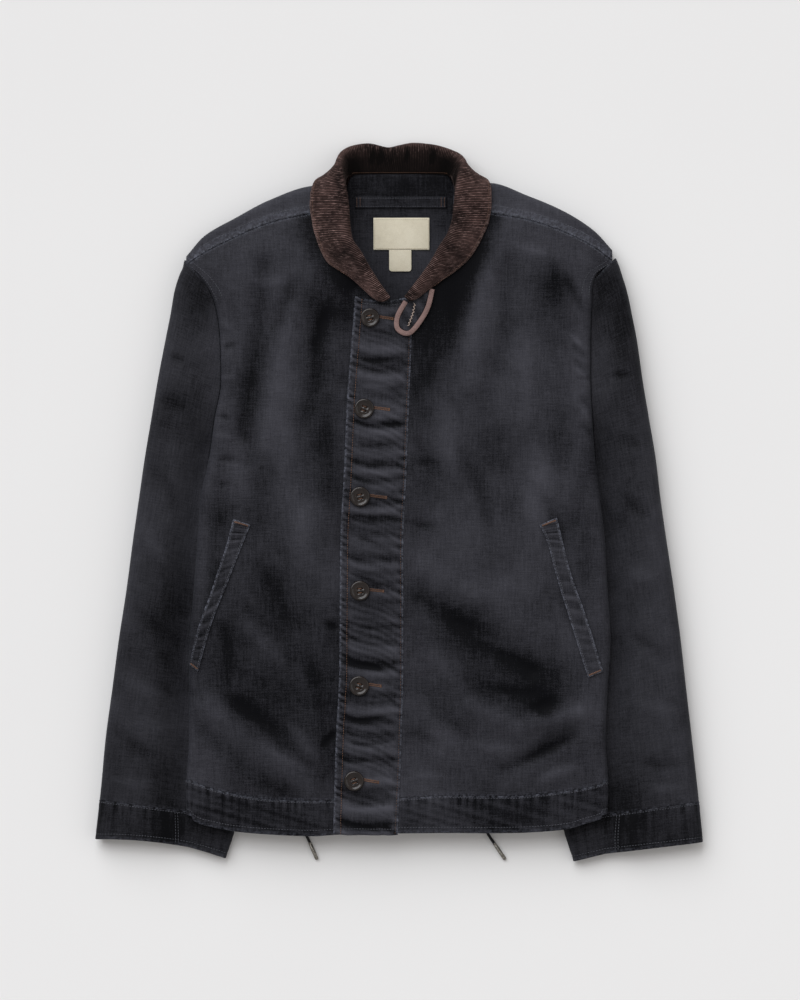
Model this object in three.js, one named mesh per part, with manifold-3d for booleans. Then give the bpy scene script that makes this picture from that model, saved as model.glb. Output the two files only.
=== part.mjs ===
// Deck jacket laid flat on its back, in millimetres.
// X runs to the left sleeve, Y to the collar and Z up from the floor.
// The origin is on the floor under the middle of the jacket.
// Lengths called q are distances from the centre line, counted outwards on each side.
import * as THREE from "three";
import Module from "manifold-3d";

const wasm = await Module();
wasm.setup();

const RIGHT = { sign: -1, name: "right" };
const LEFT = { sign: 1, name: "left" };
const SIDES = [RIGHT, LEFT];

// Cloth and gaps
const SHELL_WALL = 2;
const BAND_WALL = 2.2;
const PLACKET_WALL = 2.4;
const COLLAR_WALL = 3;
const SEAM_GAP = 0.5;
const SIDE_SEAM_GAP = 1;
const ARMHOLE_GAP = 1.8;
const PLACKET_LIFT = 0.6;
const PLACKET_DROP = 2.8;
const PLACKET_BLEND = 22;
// The placket presses the right front down, less and less over this length below the neck
const PLACKET_PRESS = { top: 244, blend: 26 };

// Layers where a sleeve's inner strip lies under the body
const STRIP_HEIGHT = 13.3;
const BODY_LEVEL = 14.3;
const LEVEL_RAMP = 36;
const TUCK_LENGTH = 40;
const UNDERARM_Y = 49;
const UNDERARM_BLEND = 60;
const UNDERARM_STEP = { cut: 0.01, row: 0.1 };
const STRIP_TOP_Y = 36;

// Shoulders and neck
const HPS_Q = 57;
const SHOULDER_END_Q = 224;
const TUCK_COLUMN_Q = 155;
const SHOULDER_RISE = 35;
const NECK_LEVEL = 4.6;
const NECK_CENTRE_Y = 290;
const ARMHOLE_TOP_Y = 251;
const EDGE_DROP_POWER = 2.5;
// Where the back rises beside a sleeve's strip and under the collar
const BACK_RISE = { stripSide: 6, above: 46, neckY: 180, neckBlend: 60, neckQ: 98, neckFade: 30 };
// Points of a slanting row are found by repeated steps part of the way
const SETTLING = { steps: 30, flatSteps: 8, share: 0.5, startQ: 100 };

// Outer outline of the sleeves and the folded edge of the body, as distances from the centre line
const EDGES = [
  // y, right sleeve, left sleeve, right fold, left fold
  [256, 227, 231, 231, 232],
  [251, 230, 233, 226, 225],
  [245, 231, 235, 219, 215],
  [238, 233.5, 236.5, 211, 207],
  [222, 237, 240, 199.5, 202.5],
  [201, 240, 244, 192, 202],
  [170, 246, 250, 188, 201],
  [128, 254, 256, 187, 201],
  [86, 261, 263, 194, 203],
  [44, 268, 270, 200, 206],
  [2, 274, 275, 209, 211],
  [-40, 280, 281, 212, 216],
  [-93, 287, 289, 216, 219],
  [-145, 295, 296, 220, 222],
  [-198, 302, 302, 221, 219],
  [-250, 309, 308, 221, 217],
  [-303, 314, 314, 224, 220],
  [-355, 320, 319.5, 222, 216],
];

// Height of the front's outer face above the floor
const HEIGHTS = [
  // y, at the centre, at the folded edge
  [340, 40, 32],
  [200, 42, 31],
  [90, 42, 33],
  [0, 41, 35],
  [-100, 39, 35],
  [-200, 36, 32],
  [-290, 32, 29],
  [-350, 29, 26],
];

// Shoulder seam, and the line where the back panel turns over the shoulder
const SHOULDER = [
  // q, seam y right, seam y left, seam z, turn y right, turn y left
  [57, 312, 312, 29, 336, 336],
  [80, 306.5, 307.5, 28.3, 333, 334],
  [95, 303, 304, 27.6, 331.5, 335],
  [137, 293, 296, 26.4, 317, 321],
  [173, 278, 284, 25, 298, 305.5],
  [205, 262, 268, 23, 279.5, 285],
  [225, 249.5, 253.6, 21.3, 257, 263.5],
  [232, 245, 249, 21, 250, 256],
];

// Seam above the hem band and the bottom edge
const HEM = [
  // q, seam right, seam left, bottom right, bottom left
  [0, -313.4, -311.3, -349.5, -348.1],
  [60, -313.5, -308.4, -349.5, -347.7],
  [90, -313.9, -309.1, -351.1, -347.9],
  [120, -313.2, -309.1, -350.2, -347.7],
  [150, -311, -306.8, -348.4, -346.4],
  [175, -306.5, -303.8, -345.8, -343.9],
  [195, -301.6, -300.6, -341.9, -338.2],
  [210, -296.7, -296.9, -338, -333.6],
  [222, -292.4, -293.2, -330.2, -327.5],
];

// Where each front panel starts along the neck; below it the left one starts at the placket's seam
const FRONT_START = [
  // y, right panel q, left panel x
  [312, 57, 61.6],
  [297, 56.2, 60.6],
  [280, 52.6, 55.6],
  [265, 43.8, 46.2],
  [252, 36, 37.8],
  [238, 27.8, 28.4],
  [224, 19.2, 17.6],
  [214, 13.9, 12.6],
];

// Free edge of the placket and its seam
const PLACKET = [
  // y, free edge x, seam x
  [214, -45.9, 12.6],
  [175, -48.8, 12.5],
  [107, -54.1, 9.9],
  [30, -57.5, 7],
  [-48, -61.4, 3.6],
  [-173, -62.2, 3.7],
  [-261, -66.4, 1.5],
  [-350, -68.8, -2.3],
];

// Sleeve tube: hidden inner edge under the body, and its height at the middle
const SLEEVE = [
  // y, inner edge q, height
  [251, 150, 21],
  [200, 150, 24.5],
  [100, 148, 28],
  [49, 144, 28.5],
  [-103, 157, 28],
  [-229, 167, 26],
  [-334, 171, 22],
  [-378, 183, 19],
];
const SLEEVE_OUTER_ROUND = 11;
const SLEEVE_INNER_ROUND = 6;
const SLEEVE_SLOPE = 38;
const SLEEVE_ROUND_SHARE = 0.4;
// The sleeve's seam at the body's fold, and where the body starts to press it flat
const SLEEVE_SEAM = { foldShare: 0.6, lift: 1.2, pressedBelow: 110, pressedBlend: 62 };
// Corners of each sleeve and cuff: y at the outer end and at the inner end of each line
const SLEEVE_ENDS = {
  right: {
    top: [252.5, 230.5],
    seam: [-313.4, -334],
    edge: [-354.7, -375.3],
    bow: 5,
  },
  left: {
    top: [254.5, 233],
    seam: [-315.5, -338],
    edge: [-357.9, -378.5],
    bow: 0,
  },
};

// Radius of the folded edge above the underarm
const FOLD_RADIUS = [
  // y, radius
  [49, 9.6],
  [120, 7],
  [220, 5.5],
  [251, 4],
];

// The largest soft folds of the fronts, each along three points; below zero is a trough
const FOLDS = [
  // x1, y1, x2, y2, x3, y3, width, height
  [-142, 250, -146, 188, -165, 70, 11, -2.4],
  [-108, 198, -125, 140, -148, 30, 12, 1.8],
  [-80, 188, -82, 135, -102, 81, 10, -1.6],
  [-200, -215, -150, -262, -92, -300, 12, 2],
  [-205, -245, -160, -285, -110, -312, 10, -1.6],
  [117, 250, 113, 188, 106, 135, 11, -2],
  [95, 250, 87, 188, 76, 124, 11, 1.6],
  [22, -100, 60, -128, 138, -177, 11, -2.6],
  [30, -70, 80, -100, 150, -140, 12, 1.3],
  [74, -213, 125, -237, 190, -222, 11, 2.6],
  [110, -282, 140, -266, 180, -246, 10, -1.9],
  [202, 39, 195, 10, 184, -22, 10, -1.6],
];

// Collar stations from the centre back to the front end: neck seam N, centre of the roll C and fall edge E.
// A blank height is taken from the front below it.
const COLLAR_RIGHT = [
  // Nx, Ny, Nz, Cx, Cy, Cz, Ex, Ey, Ez, lean, turn
  [0, 345.4, 7.3, 0.8, 370.6, 4.8, 0.8, 321, 0, 0, 180],
  [-15, 345.4, 7.3, -11.8, 368.2, 4.8, -15, 321, 0, 0, 180],
  [-34, 345.2, 7.5, -32.8, 372.4, 5.2, -34.9, 321, 0, 2, 180],
  [-47, 344.8, 8.4, -50, 369.5, 7.5, -53.8, 321.5, 0, 10, 175],
  [-53.2, 342.4, 11.2, -59, 363.5, 14, -70, 327, 0, 30, 165],
  [-54.8, 340, 16, -62, 357, 21.5, -77, 335, 2.2, 45, 150],
  [-55.6, 337.6, 24.5, -63.5, 350, 29, -85.5, 340, 12, 62, 130],
  [-55.9, 331.5, 29.2, -61, 334, 34, -91.5, 331, 28.5, 80, 110],
  [-56.2, 311, 30.4, -57.6, 311.5, 36, -93.3, 311, 33.5, 90, 100],
  [-54.9, 293.5, null, -56, 291.4, null, -90.7, 292.4, null, 90, 100],
  [-51.8, 279.5, null, -53.6, 275, null, -86.3, 275.6, null, 90, 100],
  [-42.7, 264.6, null, -43.8, 259.5, null, -81.6, 263, null, 90, 100],
  [-34.4, 251, null, -35.2, 244, null, -74.2, 250.4, null, 90, 100],
  [-25.4, 235.8, null, -26, 229.5, null, -65.3, 243.6, null, 90, 100],
  [-12.6, 216.5, null, -13.4, 211.6, null, -54.8, 237.3, null, 90, 100],
];
const COLLAR_LEFT = [
  // Nx, Ny, Nz, Cx, Cy, Cz, Ex, Ey, Ez, lean, turn
  [0, 345.4, 7.3, 0.8, 370.6, 4.8, 0.8, 321, 0, 0, 180],
  [16, 345.4, 7.3, 15.5, 373, 4.8, 16.6, 321, 0, 0, 180],
  [34, 345.2, 7.5, 34.4, 371.4, 5.2, 36.5, 321, 0, 2, 180],
  [48, 344.8, 8.4, 53, 366, 7.5, 54.4, 321.5, 0, 10, 175],
  [53.6, 342.4, 11.2, 61, 362, 14, 71, 327, 0, 30, 165],
  [54.8, 340, 16, 65.5, 357, 21.5, 80, 336, 2.2, 45, 150],
  [55.6, 337.6, 24.5, 67.5, 350, 29, 89.5, 341, 12, 62, 130],
  [57.4, 331.5, 29.2, 64.5, 334.5, 34, 96, 332, 28.5, 80, 110],
  [60.4, 311, 30.4, 61.8, 312.5, 36, 96.4, 312, 33.5, 90, 100],
  [59.4, 297.7, null, 60.4, 297.5, null, 94, 296.6, null, 90, 100],
  [54.8, 281.5, null, 55, 280, null, 87.5, 279.8, null, 90, 100],
  [45, 266.5, null, 45.6, 265, null, 80.1, 265.1, null, 90, 100],
  [36.6, 254, null, 37.4, 250.4, null, 70.7, 252.5, null, 90, 100],
  [27, 240.5, null, 28.2, 236.8, null, 59.1, 242.2, null, 90, 100],
  [10.6, 217, null, 9.3, 212.2, null, 37.3, 226.3, null, 90, 100],
];
const ROLL_RADIUS = 4.8;
const COLLAR_SEAT = 3.7;
const ROLL_SEAT = 4.4;
const NECK_SEAM_SEAT = 0.5;
// The fall leaves the roll over this share of its width, and lies on the front where it is past the shoulder
const COLLAR_FALL = { leave: 0.8, pastTurn: 6, above: 20 };

const BUTTONS = [
  // x, y, radius
  [-30.7, 192.7, 10],
  [-36.8, 97.4, 10.5],
  [-41.2, 5.1, 10.5],
  [-41.2, -93.5, 10.5],
  [-42.2, -193.3, 10.5],
  [-47.5, -293.1, 10.5],
];
const BUTTON_SEAT = 0.6;
const BUTTON_PROFILE = [
  // share of the radius, height
  [0.86, 0],
  [1, 1.2],
  [0.98, 2.7],
  [0.86, 3.5],
  [0.72, 2.9],
  [0.62, 2.3],
];
const BUTTON_FACE = 2.2;
const BUTTON_SIDES = 16;
const BUTTON_DISH = 0.4;
const BUTTON_REACH = 8;
const BUTTON_HOLE = { radius: 1.3, off: 2.3, sides: 4, from: -1, to: 5 };

// Pocket welts, each by five places from its top to its bottom
const WELTS = [
  {
    name: "pocket_welt_right",
    rows: [
      // outer x, outer y, inner x, inner y
      [-174, -19, -156.2, -24.4],
      [-179.3, -40, -163, -41],
      [-193.4, -84, -178.3, -80],
      [-211.3, -136, -199, -134],
      [-218.6, -171, -211.3, -178],
    ],
  },
  {
    name: "pocket_welt_left",
    rows: [
      // outer x, outer y, inner x, inner y
      [165.4, -17.3, 147.2, -24.4],
      [170.5, -40, 155, -41],
      [179.3, -74, 164.5, -76],
      [195.5, -120, 178.5, -122],
      [213.5, -178, 198.2, -184.5],
    ],
  },
];
const WELT_SEAT = 0.6;
const WELT_WALL = 1.6;
const WELT_CELLS = { along: 12, across: 2 };

// Throat tab outline from its root on the right, round the tip and back
const TAB_OUTLINE = [
  // x, y
  [4.4, 210.6],
  [-4.1, 194.8],
  [-4.4, 181.1],
  [4.6, 174.1],
  [14.3, 176.1],
  [25.9, 190.6],
  [32.8, 204.2],
  [37, 221.8],
];
const TAB = { binding: 5, seat: 3.4, wall: 2, bindingSeat: 4, bindingWall: 2.7 };
const TAB_CELLS = { along: 20, across: 3 };
const TAB_LEAF_INSET = 0.02;

// Pieces that lie on the inside of the back: their edges, thickness and lift above it
const LABEL_CELLS = { across: 6, down: 3 };
const LABELS = [
  { name: "hanger_loop", x: [-46.5, 49.5], y: [309.2, 320.8], wall: 1.1, lift: 0.5 },
  { name: "neck_label", x: [-27, 31.6], y: [265, 298.5], wall: 0.8, lift: 0.5 },
  { name: "size_tag", x: [-10.5, 12.7], y: [242.2, 264.5], wall: 0.7, lift: 0.6 },
];

const CORD_RADIUS = 1.5;
const CORD_SIDES = 8;
const CORD_CELLS = 14;
const CORD_BELOW_BAND = 0.5;
const CORDS = [
  // The first point is under the band; the others are the route to the tip
  {
    side: "right",
    from: [-101.5, -338],
    route: [
      [-101.5, -338, 17.5],
      [-101.2, -340, 11],
      [-100, -344.5, 6.2],
      [-98.5, -350, 3.9],
      [-96.2, -355, 2.3],
      [-94.4, -359, 1.9],
    ],
    tip: [-86.5, -377.2],
  },
  {
    side: "left",
    from: [89, -335],
    route: [
      [89, -335, 17.5],
      [89.3, -337.5, 11],
      [90.5, -342.5, 6.2],
      [93, -349, 3.9],
      [96.5, -355, 2.3],
      [100, -360, 1.9],
    ],
    tip: [111.6, -377.2],
  },
];
const TIP = { radius: 1.9, nose: 1.5, gap: 0.3, shoulder: 0.85, floor: 0.02, lift: 0.15 };

// Interpolation and small helpers
const lerp = (a, b, t) => a + (b - a) * t;
const clamp = (v, lo, hi) => Math.min(hi, Math.max(lo, v));
const smooth = (t) => {
  const k = clamp(t, 0, 1);
  return k * k * (3 - 2 * k);
};
const vec = (x, y, z) => new THREE.Vector3(x, y, z);

// A smooth curve through rows of a table that keeps within its values; the first column is the place.
function through(rows, column) {
  const points = rows
    .map((row) => [row[0], row[column]])
    .sort((a, b) => a[0] - b[0]);
  const steps = points
    .slice(1)
    .map((p, i) => (p[1] - points[i][1]) / (p[0] - points[i][0]));
  const slopes = points.map((p, i) => {
    const before = steps[i - 1] ?? steps[i];
    const after = steps[i] ?? before;
    return before * after <= 0 ? 0 : (2 * before * after) / (before + after);
  });
  const last = points.length - 1;
  return (at) => {
    const place = clamp(at, points[0][0], points[last][0]);
    let i = 0;
    while (i < last - 1 && place > points[i + 1][0]) i += 1;
    const width = points[i + 1][0] - points[i][0];
    const t = (place - points[i][0]) / width;
    const rest = 1 - t;
    return (
      points[i][1] * rest * rest * (1 + 2 * t) +
      slopes[i] * width * t * rest * rest +
      points[i + 1][1] * t * t * (3 - 2 * t) -
      slopes[i + 1] * width * t * t * rest
    );
  };
}

const steps = (from, to, cells) =>
  Array.from({ length: cells + 1 }, (_, i) => lerp(from, to, i / cells));

const sleeveEdge = { right: through(EDGES, 1), left: through(EDGES, 2) };
const foldEdge = { right: through(EDGES, 3), left: through(EDGES, 4) };
const middleHeight = through(HEIGHTS, 1);
const edgeHeight = through(HEIGHTS, 2);
const seamY = { right: through(SHOULDER, 1), left: through(SHOULDER, 2) };
const seamZ = through(SHOULDER, 3);
const turnY = { right: through(SHOULDER, 4), left: through(SHOULDER, 5) };
const hemSeam = { right: through(HEM, 1), left: through(HEM, 2) };
const hemBottom = { right: through(HEM, 3), left: through(HEM, 4) };
const placketEdge = through(PLACKET, 1);
const placketSeam = through(PLACKET, 2);
const neckStart = { right: through(FRONT_START, 1), left: through(FRONT_START, 2) };
const frontStart = {
  right: neckStart.right,
  left: (y) => (y > PLACKET[0][0] ? neckStart.left(y) : placketSeam(y)) + SEAM_GAP,
};
const stripEdge = through(SLEEVE, 1);
const sleeveHeight = through(SLEEVE, 2);
const foldRadiusAbove = through(FOLD_RADIUS, 1);

function distanceToSegment(x, y, x1, y1, x2, y2) {
  const dx = x2 - x1;
  const dy = y2 - y1;
  const t = clamp(((x - x1) * dx + (y - y1) * dy) / (dx * dx + dy * dy), 0, 1);
  return Math.hypot(x - x1 - t * dx, y - y1 - t * dy);
}

function foldsAt(x, y) {
  return FOLDS.reduce((sum, [x1, y1, x2, y2, x3, y3, width, height]) => {
    const near = Math.min(
      distanceToSegment(x, y, x1, y1, x2, y2),
      distanceToSegment(x, y, x2, y2, x3, y3),
    );
    return sum + height * Math.exp(-((near / width) ** 2));
  }, 0);
}

// The fronts' outer face where it lies flat, before the placket lowers it
function topHeight(x, y) {
  const side = x < 0 ? "right" : "left";
  const q = Math.abs(x);
  const out = clamp(q / foldEdge[side](Math.min(y, ARMHOLE_TOP_Y)), 0, 1);
  const base = lerp(middleHeight(y), edgeHeight(y), out ** EDGE_DROP_POWER);
  const below = Math.max(0, seamY[side](q) - y);
  const rise = 1 - Math.exp(-below / SHOULDER_RISE);
  return lerp(seamZ(q), base, rise) + foldsAt(x, y) * rise;
}

function frontHeight(side, x, y) {
  const inside = x - placketEdge(y) + PLACKET_BLEND;
  const under = side.sign < 0 ? smooth(inside / PLACKET_BLEND) : 0;
  const fade = smooth((PLACKET_PRESS.top - y) / PLACKET_PRESS.blend);
  return topHeight(x, y) - PLACKET_DROP * under * fade;
}

function foldRadius(side, y) {
  const top = topHeight(side.sign * foldEdge[side.name](y), y);
  const below = (top - BODY_LEVEL) / 2;
  return lerp(below, foldRadiusAbove(y), smooth((y - UNDERARM_Y) / UNDERARM_BLEND));
}

// The line under the body where a front ends and the back starts
function tuckLine(side, y) {
  const at = Math.min(y, UNDERARM_Y);
  return foldEdge[side.name](at) - foldRadius(side, at) - TUCK_LENGTH;
}

// The back's outer face: on the floor in the middle, raised over the sleeves' strips and the collar
function backHeight(side, q, y) {
  const at = Math.min(y, UNDERARM_Y);
  const { stripSide, above, neckY, neckBlend, neckQ, neckFade } = BACK_RISE;
  const over = smooth((q - stripEdge(at) + stripSide + LEVEL_RAMP) / LEVEL_RAMP);
  const up = 1 - smooth((y - UNDERARM_Y) / above);
  const tuck = tuckLine(side, y);
  const fold = foldEdge[side.name](y);
  const past = y > UNDERARM_Y + UNDERARM_STEP.cut;
  const away = past ? 1 - smooth((q - tuck) / (fold - tuck)) : 1;
  const neck = smooth((y - neckY) / neckBlend) * (1 - smooth((q - neckQ) / neckFade));
  return BODY_LEVEL * over * up * away + NECK_LEVEL * neck;
}

// One point of the body: its column is of the kind top, arc or tuck, and yOf gives its row's y at a place q
function bodyPoint(side, column, yOf) {
  const { sign, name } = side;
  let topQ = 0;
  let y = yOf(SETTLING.startQ);
  for (let i = 0; i < SETTLING.steps; i += 1) {
    const fold = foldEdge[name](y);
    const radius = foldRadius(side, y);
    topQ = lerp(frontStart[name](y), fold - radius, column.at);
    y = lerp(y, yOf(column.kind === "top" ? topQ : fold), SETTLING.share);
  }
  const fold = foldEdge[name](y);
  const radius = foldRadius(side, y);
  const edgeX = sign * (fold - radius);
  if (column.kind === "top") return vec(sign * topQ, y, frontHeight(side, sign * topQ, y));
  const top = frontHeight(side, edgeX, y);
  if (column.kind === "arc") {
    const turn = (column.at * Math.PI) / 180;
    return vec(
      sign * (fold - radius + radius * Math.sin(turn)),
      y,
      top - radius * (1 - Math.cos(turn)),
    );
  }
  const tuckQ = lerp(fold - radius, tuckLine(side, y) + SIDE_SEAM_GAP, column.at);
  return vec(sign * tuckQ, y, BODY_LEVEL);
}

// A wall from a grid of outer points: the same points moved inwards, and rims along every open edge.
function wall(grid, thickness, outward, { closed = false, active = () => true } = {}) {
  const rows = grid.length;
  const columns = grid[0].length;
  const cellColumns = closed ? columns : columns - 1;
  const index = (j, i) => j * columns + (i % columns);
  const cells = [];
  for (let j = 0; j < rows - 1; j += 1) {
    for (let i = 0; i < cellColumns; i += 1) if (active(j, i)) cells.push([j, i]);
  }
  const outer = grid.flat();
  const normals = outer.map(() => vec(0, 0, 0));
  const corners = ([j, i]) => [index(j, i), index(j, i + 1), index(j + 1, i + 1), index(j + 1, i)];
  for (const cell of cells) {
    const [a, b, c, d] = corners(cell);
    const normal = outer[c].clone().sub(outer[a]).cross(outer[d].clone().sub(outer[b]));
    for (const k of [a, b, c, d]) normals[k].add(normal);
  }
  const count = outer.length;
  const inner = outer.map((p, k) =>
    p.clone().addScaledVector(normals[k].clone().normalize(), -outward * thickness),
  );
  const points = [...outer, ...inner];
  const triangles = [];
  const quad = (a, b, c, d) => triangles.push([a, b, c], [a, c, d]);
  const edges = new Map();
  for (const cell of cells) {
    const [a, b, c, d] = corners(cell);
    const across = outer[a].distanceTo(outer[c]) <= outer[b].distanceTo(outer[d]);
    const face = across ? [a, b, c, d] : [b, c, d, a];
    quad(...face);
    quad(...face.map((k) => k + count).reverse());
    for (const [m, n] of [[a, b], [b, c], [c, d], [d, a]]) {
      if (edges.has(n + "," + m)) edges.delete(n + "," + m);
      else edges.set(m + "," + n, [m, n]);
    }
  }
  for (const [m, n] of edges.values()) quad(n, m, m + count, n + count);
  return closedMesh(points, triangles);
}

// A geometry with its faces outwards, from points and triangles that close.
function closedMesh(points, triangles) {
  const volume = triangles.reduce(
    (sum, [a, b, c]) => sum + points[a].dot(points[b].clone().cross(points[c])),
    0,
  );
  const used = new Map();
  const index = triangles
    .map(([a, b, c]) => (volume < 0 ? [a, c, b] : [a, b, c]))
    .flat()
    .map((k) => used.get(k) ?? used.set(k, used.size).get(k));
  const geometry = new THREE.BufferGeometry();
  const kept = [...used.keys()].map((k) => points[k]);
  geometry.setAttribute(
    "position",
    new THREE.Float32BufferAttribute(kept.flatMap((p) => [p.x, p.y, p.z]), 3),
  );
  geometry.setIndex(index);
  return geometry;
}

// Front panels
const TOP_CELLS = 11;
const SHOULDER_TIP_Q = 200;
const SHOULDER_TIP_GAP = 2.4;
const FRONT_ROWS_ABOVE = 9;
const FRONT_ROWS_BELOW = 13;

function frontColumns() {
  return [
    ...steps(0, 1, TOP_CELLS).map((at) => ({ kind: "top", at })),
    ...[45, 90].map((at) => ({ kind: "arc", at })),
    ...[135, 180].map((at) => ({ kind: "arc", at, under: true })),
    ...[0.5, 1].map((at) => ({ kind: "tuck", at, under: true })),
  ];
}

function frontPanel(side) {
  const { name, sign } = side;
  const tip = (q) => smooth((q - SHOULDER_TIP_Q) / (SHOULDER_END_Q - SHOULDER_TIP_Q));
  const top = (q) => seamY[name](q) - SEAM_GAP * (1 + SHOULDER_TIP_GAP * tip(q));
  const bottom = (q) => hemSeam[name](q);
  const armQ = foldEdge[name](UNDERARM_Y);
  const armShare = (top(armQ) - UNDERARM_Y) / (top(armQ) - bottom(armQ));
  const shares = [
    ...steps(0, armShare, FRONT_ROWS_ABOVE),
    ...steps(armShare, 1, FRONT_ROWS_BELOW).slice(1),
  ];
  const grid = shares.map((v, j) =>
    frontColumns().map((column) => {
      const shift = j === FRONT_ROWS_ABOVE && column.under ? -ARMHOLE_GAP : 0;
      return bodyPoint(side, column, (q) => lerp(top(q), bottom(q), v) + shift);
    }),
  );
  const openColumns = TOP_CELLS + 2;
  const active = (j, i) => i < openColumns || j >= FRONT_ROWS_ABOVE;
  return wall(grid, SHELL_WALL, sign < 0 ? 1 : -1, { active });
}

// Back panel, with the part that turns over each shoulder to the seam
const NECK_COLUMNS = [0, 16, 32, 43, 50, 54];
const SHOULDER_COLUMNS = [HPS_Q, 80, 102, 124, 140, TUCK_COLUMN_Q, 173, 190, 205, 215, SHOULDER_END_Q];
const BACK_COLUMNS = [...NECK_COLUMNS, ...SHOULDER_COLUMNS];
const NECK_EDGE = [
  // q, y of the neck edge
  [0, 344.9],
  [40, 344.7],
  [49, 343.6],
  [54, 339.6],
  [57, 333],
];
const BACK_ROWS_BELOW = 9;
const BACK_ROWS_ABOVE = 9;
const TURN_ANGLES = [-45, 0, 45, 90];
const TURN_DEPTH = { neck: 4, shoulder: 8, blend: 40 };
const TURN_BELOW_SEAM = 1.5;
const YOKE_ABOVE_SEAM = 0.3;
const neckEdge = through(NECK_EDGE, 1);

function backPanel() {
  const columns = [
    ...BACK_COLUMNS.slice(1).reverse().map((q) => ({ side: RIGHT, q })),
    ...BACK_COLUMNS.map((q) => ({ side: LEFT, q })),
  ];
  const turnDepth = (q) =>
    lerp(TURN_DEPTH.neck, TURN_DEPTH.shoulder, smooth((q - HPS_Q) / TURN_DEPTH.blend));
  const flatTop = ({ side, q }) => (q < HPS_Q ? neckEdge(q) : turnY[side.name](q) - turnDepth(q));
  const flatPoint = (column, yAt) => {
    const { side, q } = column;
    const place = (y) => {
      const tuck = tuckLine(side, y);
      if (q <= TUCK_COLUMN_Q) return (q / TUCK_COLUMN_Q) * tuck;
      const edge = Math.min(foldEdge[side.name](y), SHOULDER_END_Q);
      return lerp(tuck, edge, (q - TUCK_COLUMN_Q) / (SHOULDER_END_Q - TUCK_COLUMN_Q));
    };
    let at = q;
    let y = yAt(at);
    for (let i = 0; i < SETTLING.flatSteps; i += 1) {
      at = place(y);
      y = yAt(at);
    }
    return vec(side.sign * at, y, backHeight(side, at, y));
  };
  const grid = [];
  for (const v of steps(0, 1, BACK_ROWS_BELOW)) {
    grid.push(
      columns.map((column) =>
        flatPoint(column, (at) =>
          lerp(hemSeam[column.side.name](at), UNDERARM_Y + UNDERARM_STEP.row, v),
        ),
      ),
    );
  }
  for (const v of steps(0, 1, BACK_ROWS_ABOVE).slice(1)) {
    grid.push(
      columns.map((column) => flatPoint(column, () => lerp(UNDERARM_Y, flatTop(column), v))),
    );
  }
  const turned = (column, angle) => {
    const { side, q } = column;
    const low = backHeight(side, q, flatTop(column));
    const high = seamZ(q) - TURN_BELOW_SEAM;
    const turn = (angle * Math.PI) / 180;
    const y = turnY[side.name](q) - turnDepth(q) * (1 - Math.cos(turn));
    return vec(side.sign * q, y, lerp(low, high, (1 + Math.sin(turn)) / 2));
  };
  for (const angle of TURN_ANGLES) grid.push(columns.map((column) => turned(column, angle)));
  for (const v of [0.5, 1]) {
    grid.push(
      columns.map((column) => {
        const start = turned(column, 90);
        const endY = seamY[column.side.name](column.q);
        return start.lerp(vec(start.x, endY, seamZ(column.q) + YOKE_ABOVE_SEAM), v);
      }),
    );
  }
  const flatRows = BACK_ROWS_BELOW + BACK_ROWS_ABOVE;
  const cellQ = (i) => Math.min(columns[i].q, columns[i + 1].q);
  const active = (j, i) => {
    if (j < BACK_ROWS_BELOW) return cellQ(i) < TUCK_COLUMN_Q;
    if (j < flatRows) return true;
    return cellQ(i) >= HPS_Q;
  };
  return wall(grid, SHELL_WALL, -1, { active });
}

// The hem band in one strip: right front, right side, back, left side, left front
const HEM_TOP_CELLS = 9;
const HEM_BACK_CELLS = 8;
const HEM_ROWS = 2;
const BACK_HEM_SHORTER = 3;

function hemBand() {
  const columns = [];
  const half = [
    ...steps(0, 1, HEM_TOP_CELLS).map((at) => ({ kind: "top", at, back: 0 })),
    ...[45, 90, 135, 180].map((at) => ({ kind: "arc", at, back: at / 180 })),
    { kind: "tuck", at: 0.5, back: 1 },
    ...steps(1, 0, HEM_BACK_CELLS).map((at) => ({ kind: "back", at, back: 1 })),
  ];
  columns.push(...half.map((column) => ({ ...column, side: RIGHT })));
  columns.push(
    ...half
      .slice(0, -1)
      .reverse()
      .map((column) => ({ ...column, side: LEFT })),
  );
  const grid = steps(0, 1, HEM_ROWS).map((v) =>
    columns.map((column) => {
      const { side, back } = column;
      const seam = (q) => hemSeam[side.name](q) - SEAM_GAP;
      const bottom = (q) => hemBottom[side.name](q) + BACK_HEM_SHORTER * back;
      if (column.kind !== "back") {
        return bodyPoint(side, column, (q) => lerp(seam(q), bottom(q), v));
      }
      const fold = foldEdge[side.name](seam(SHOULDER_END_Q));
      const q = column.at * tuckLine(side, lerp(seam(fold), bottom(fold), v));
      const y = lerp(seam(q), bottom(q), v);
      return vec(side.sign * q, y, backHeight(side, q, y));
    }),
  );
  return wall(grid, BAND_WALL, 1);
}

// The placket's top edge dips between its free edge and its seam
const PLACKET_ENDS = { top: 213.9, dip: 4.4, dipShare: 0.9, rise: 1.6, bottom: -349.4 };
const PLACKET_CELLS = { along: 25, across: 4 };

function placket() {
  const { top, dip, dipShare, rise, bottom } = PLACKET_ENDS;
  const topLine = (share) => top - dip * Math.sin(Math.PI * share * dipShare) + rise * share;
  const grid = steps(0, 1, PLACKET_CELLS.along).map((v) =>
    steps(0, 1, PLACKET_CELLS.across).map((u) => {
      const y = lerp(topLine(u), bottom, v);
      const x = lerp(placketEdge(y), placketSeam(y), u);
      return vec(x, y, topHeight(x, y) + PLACKET_LIFT);
    }),
  );
  return wall(grid, PLACKET_WALL, -1);
}

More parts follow.
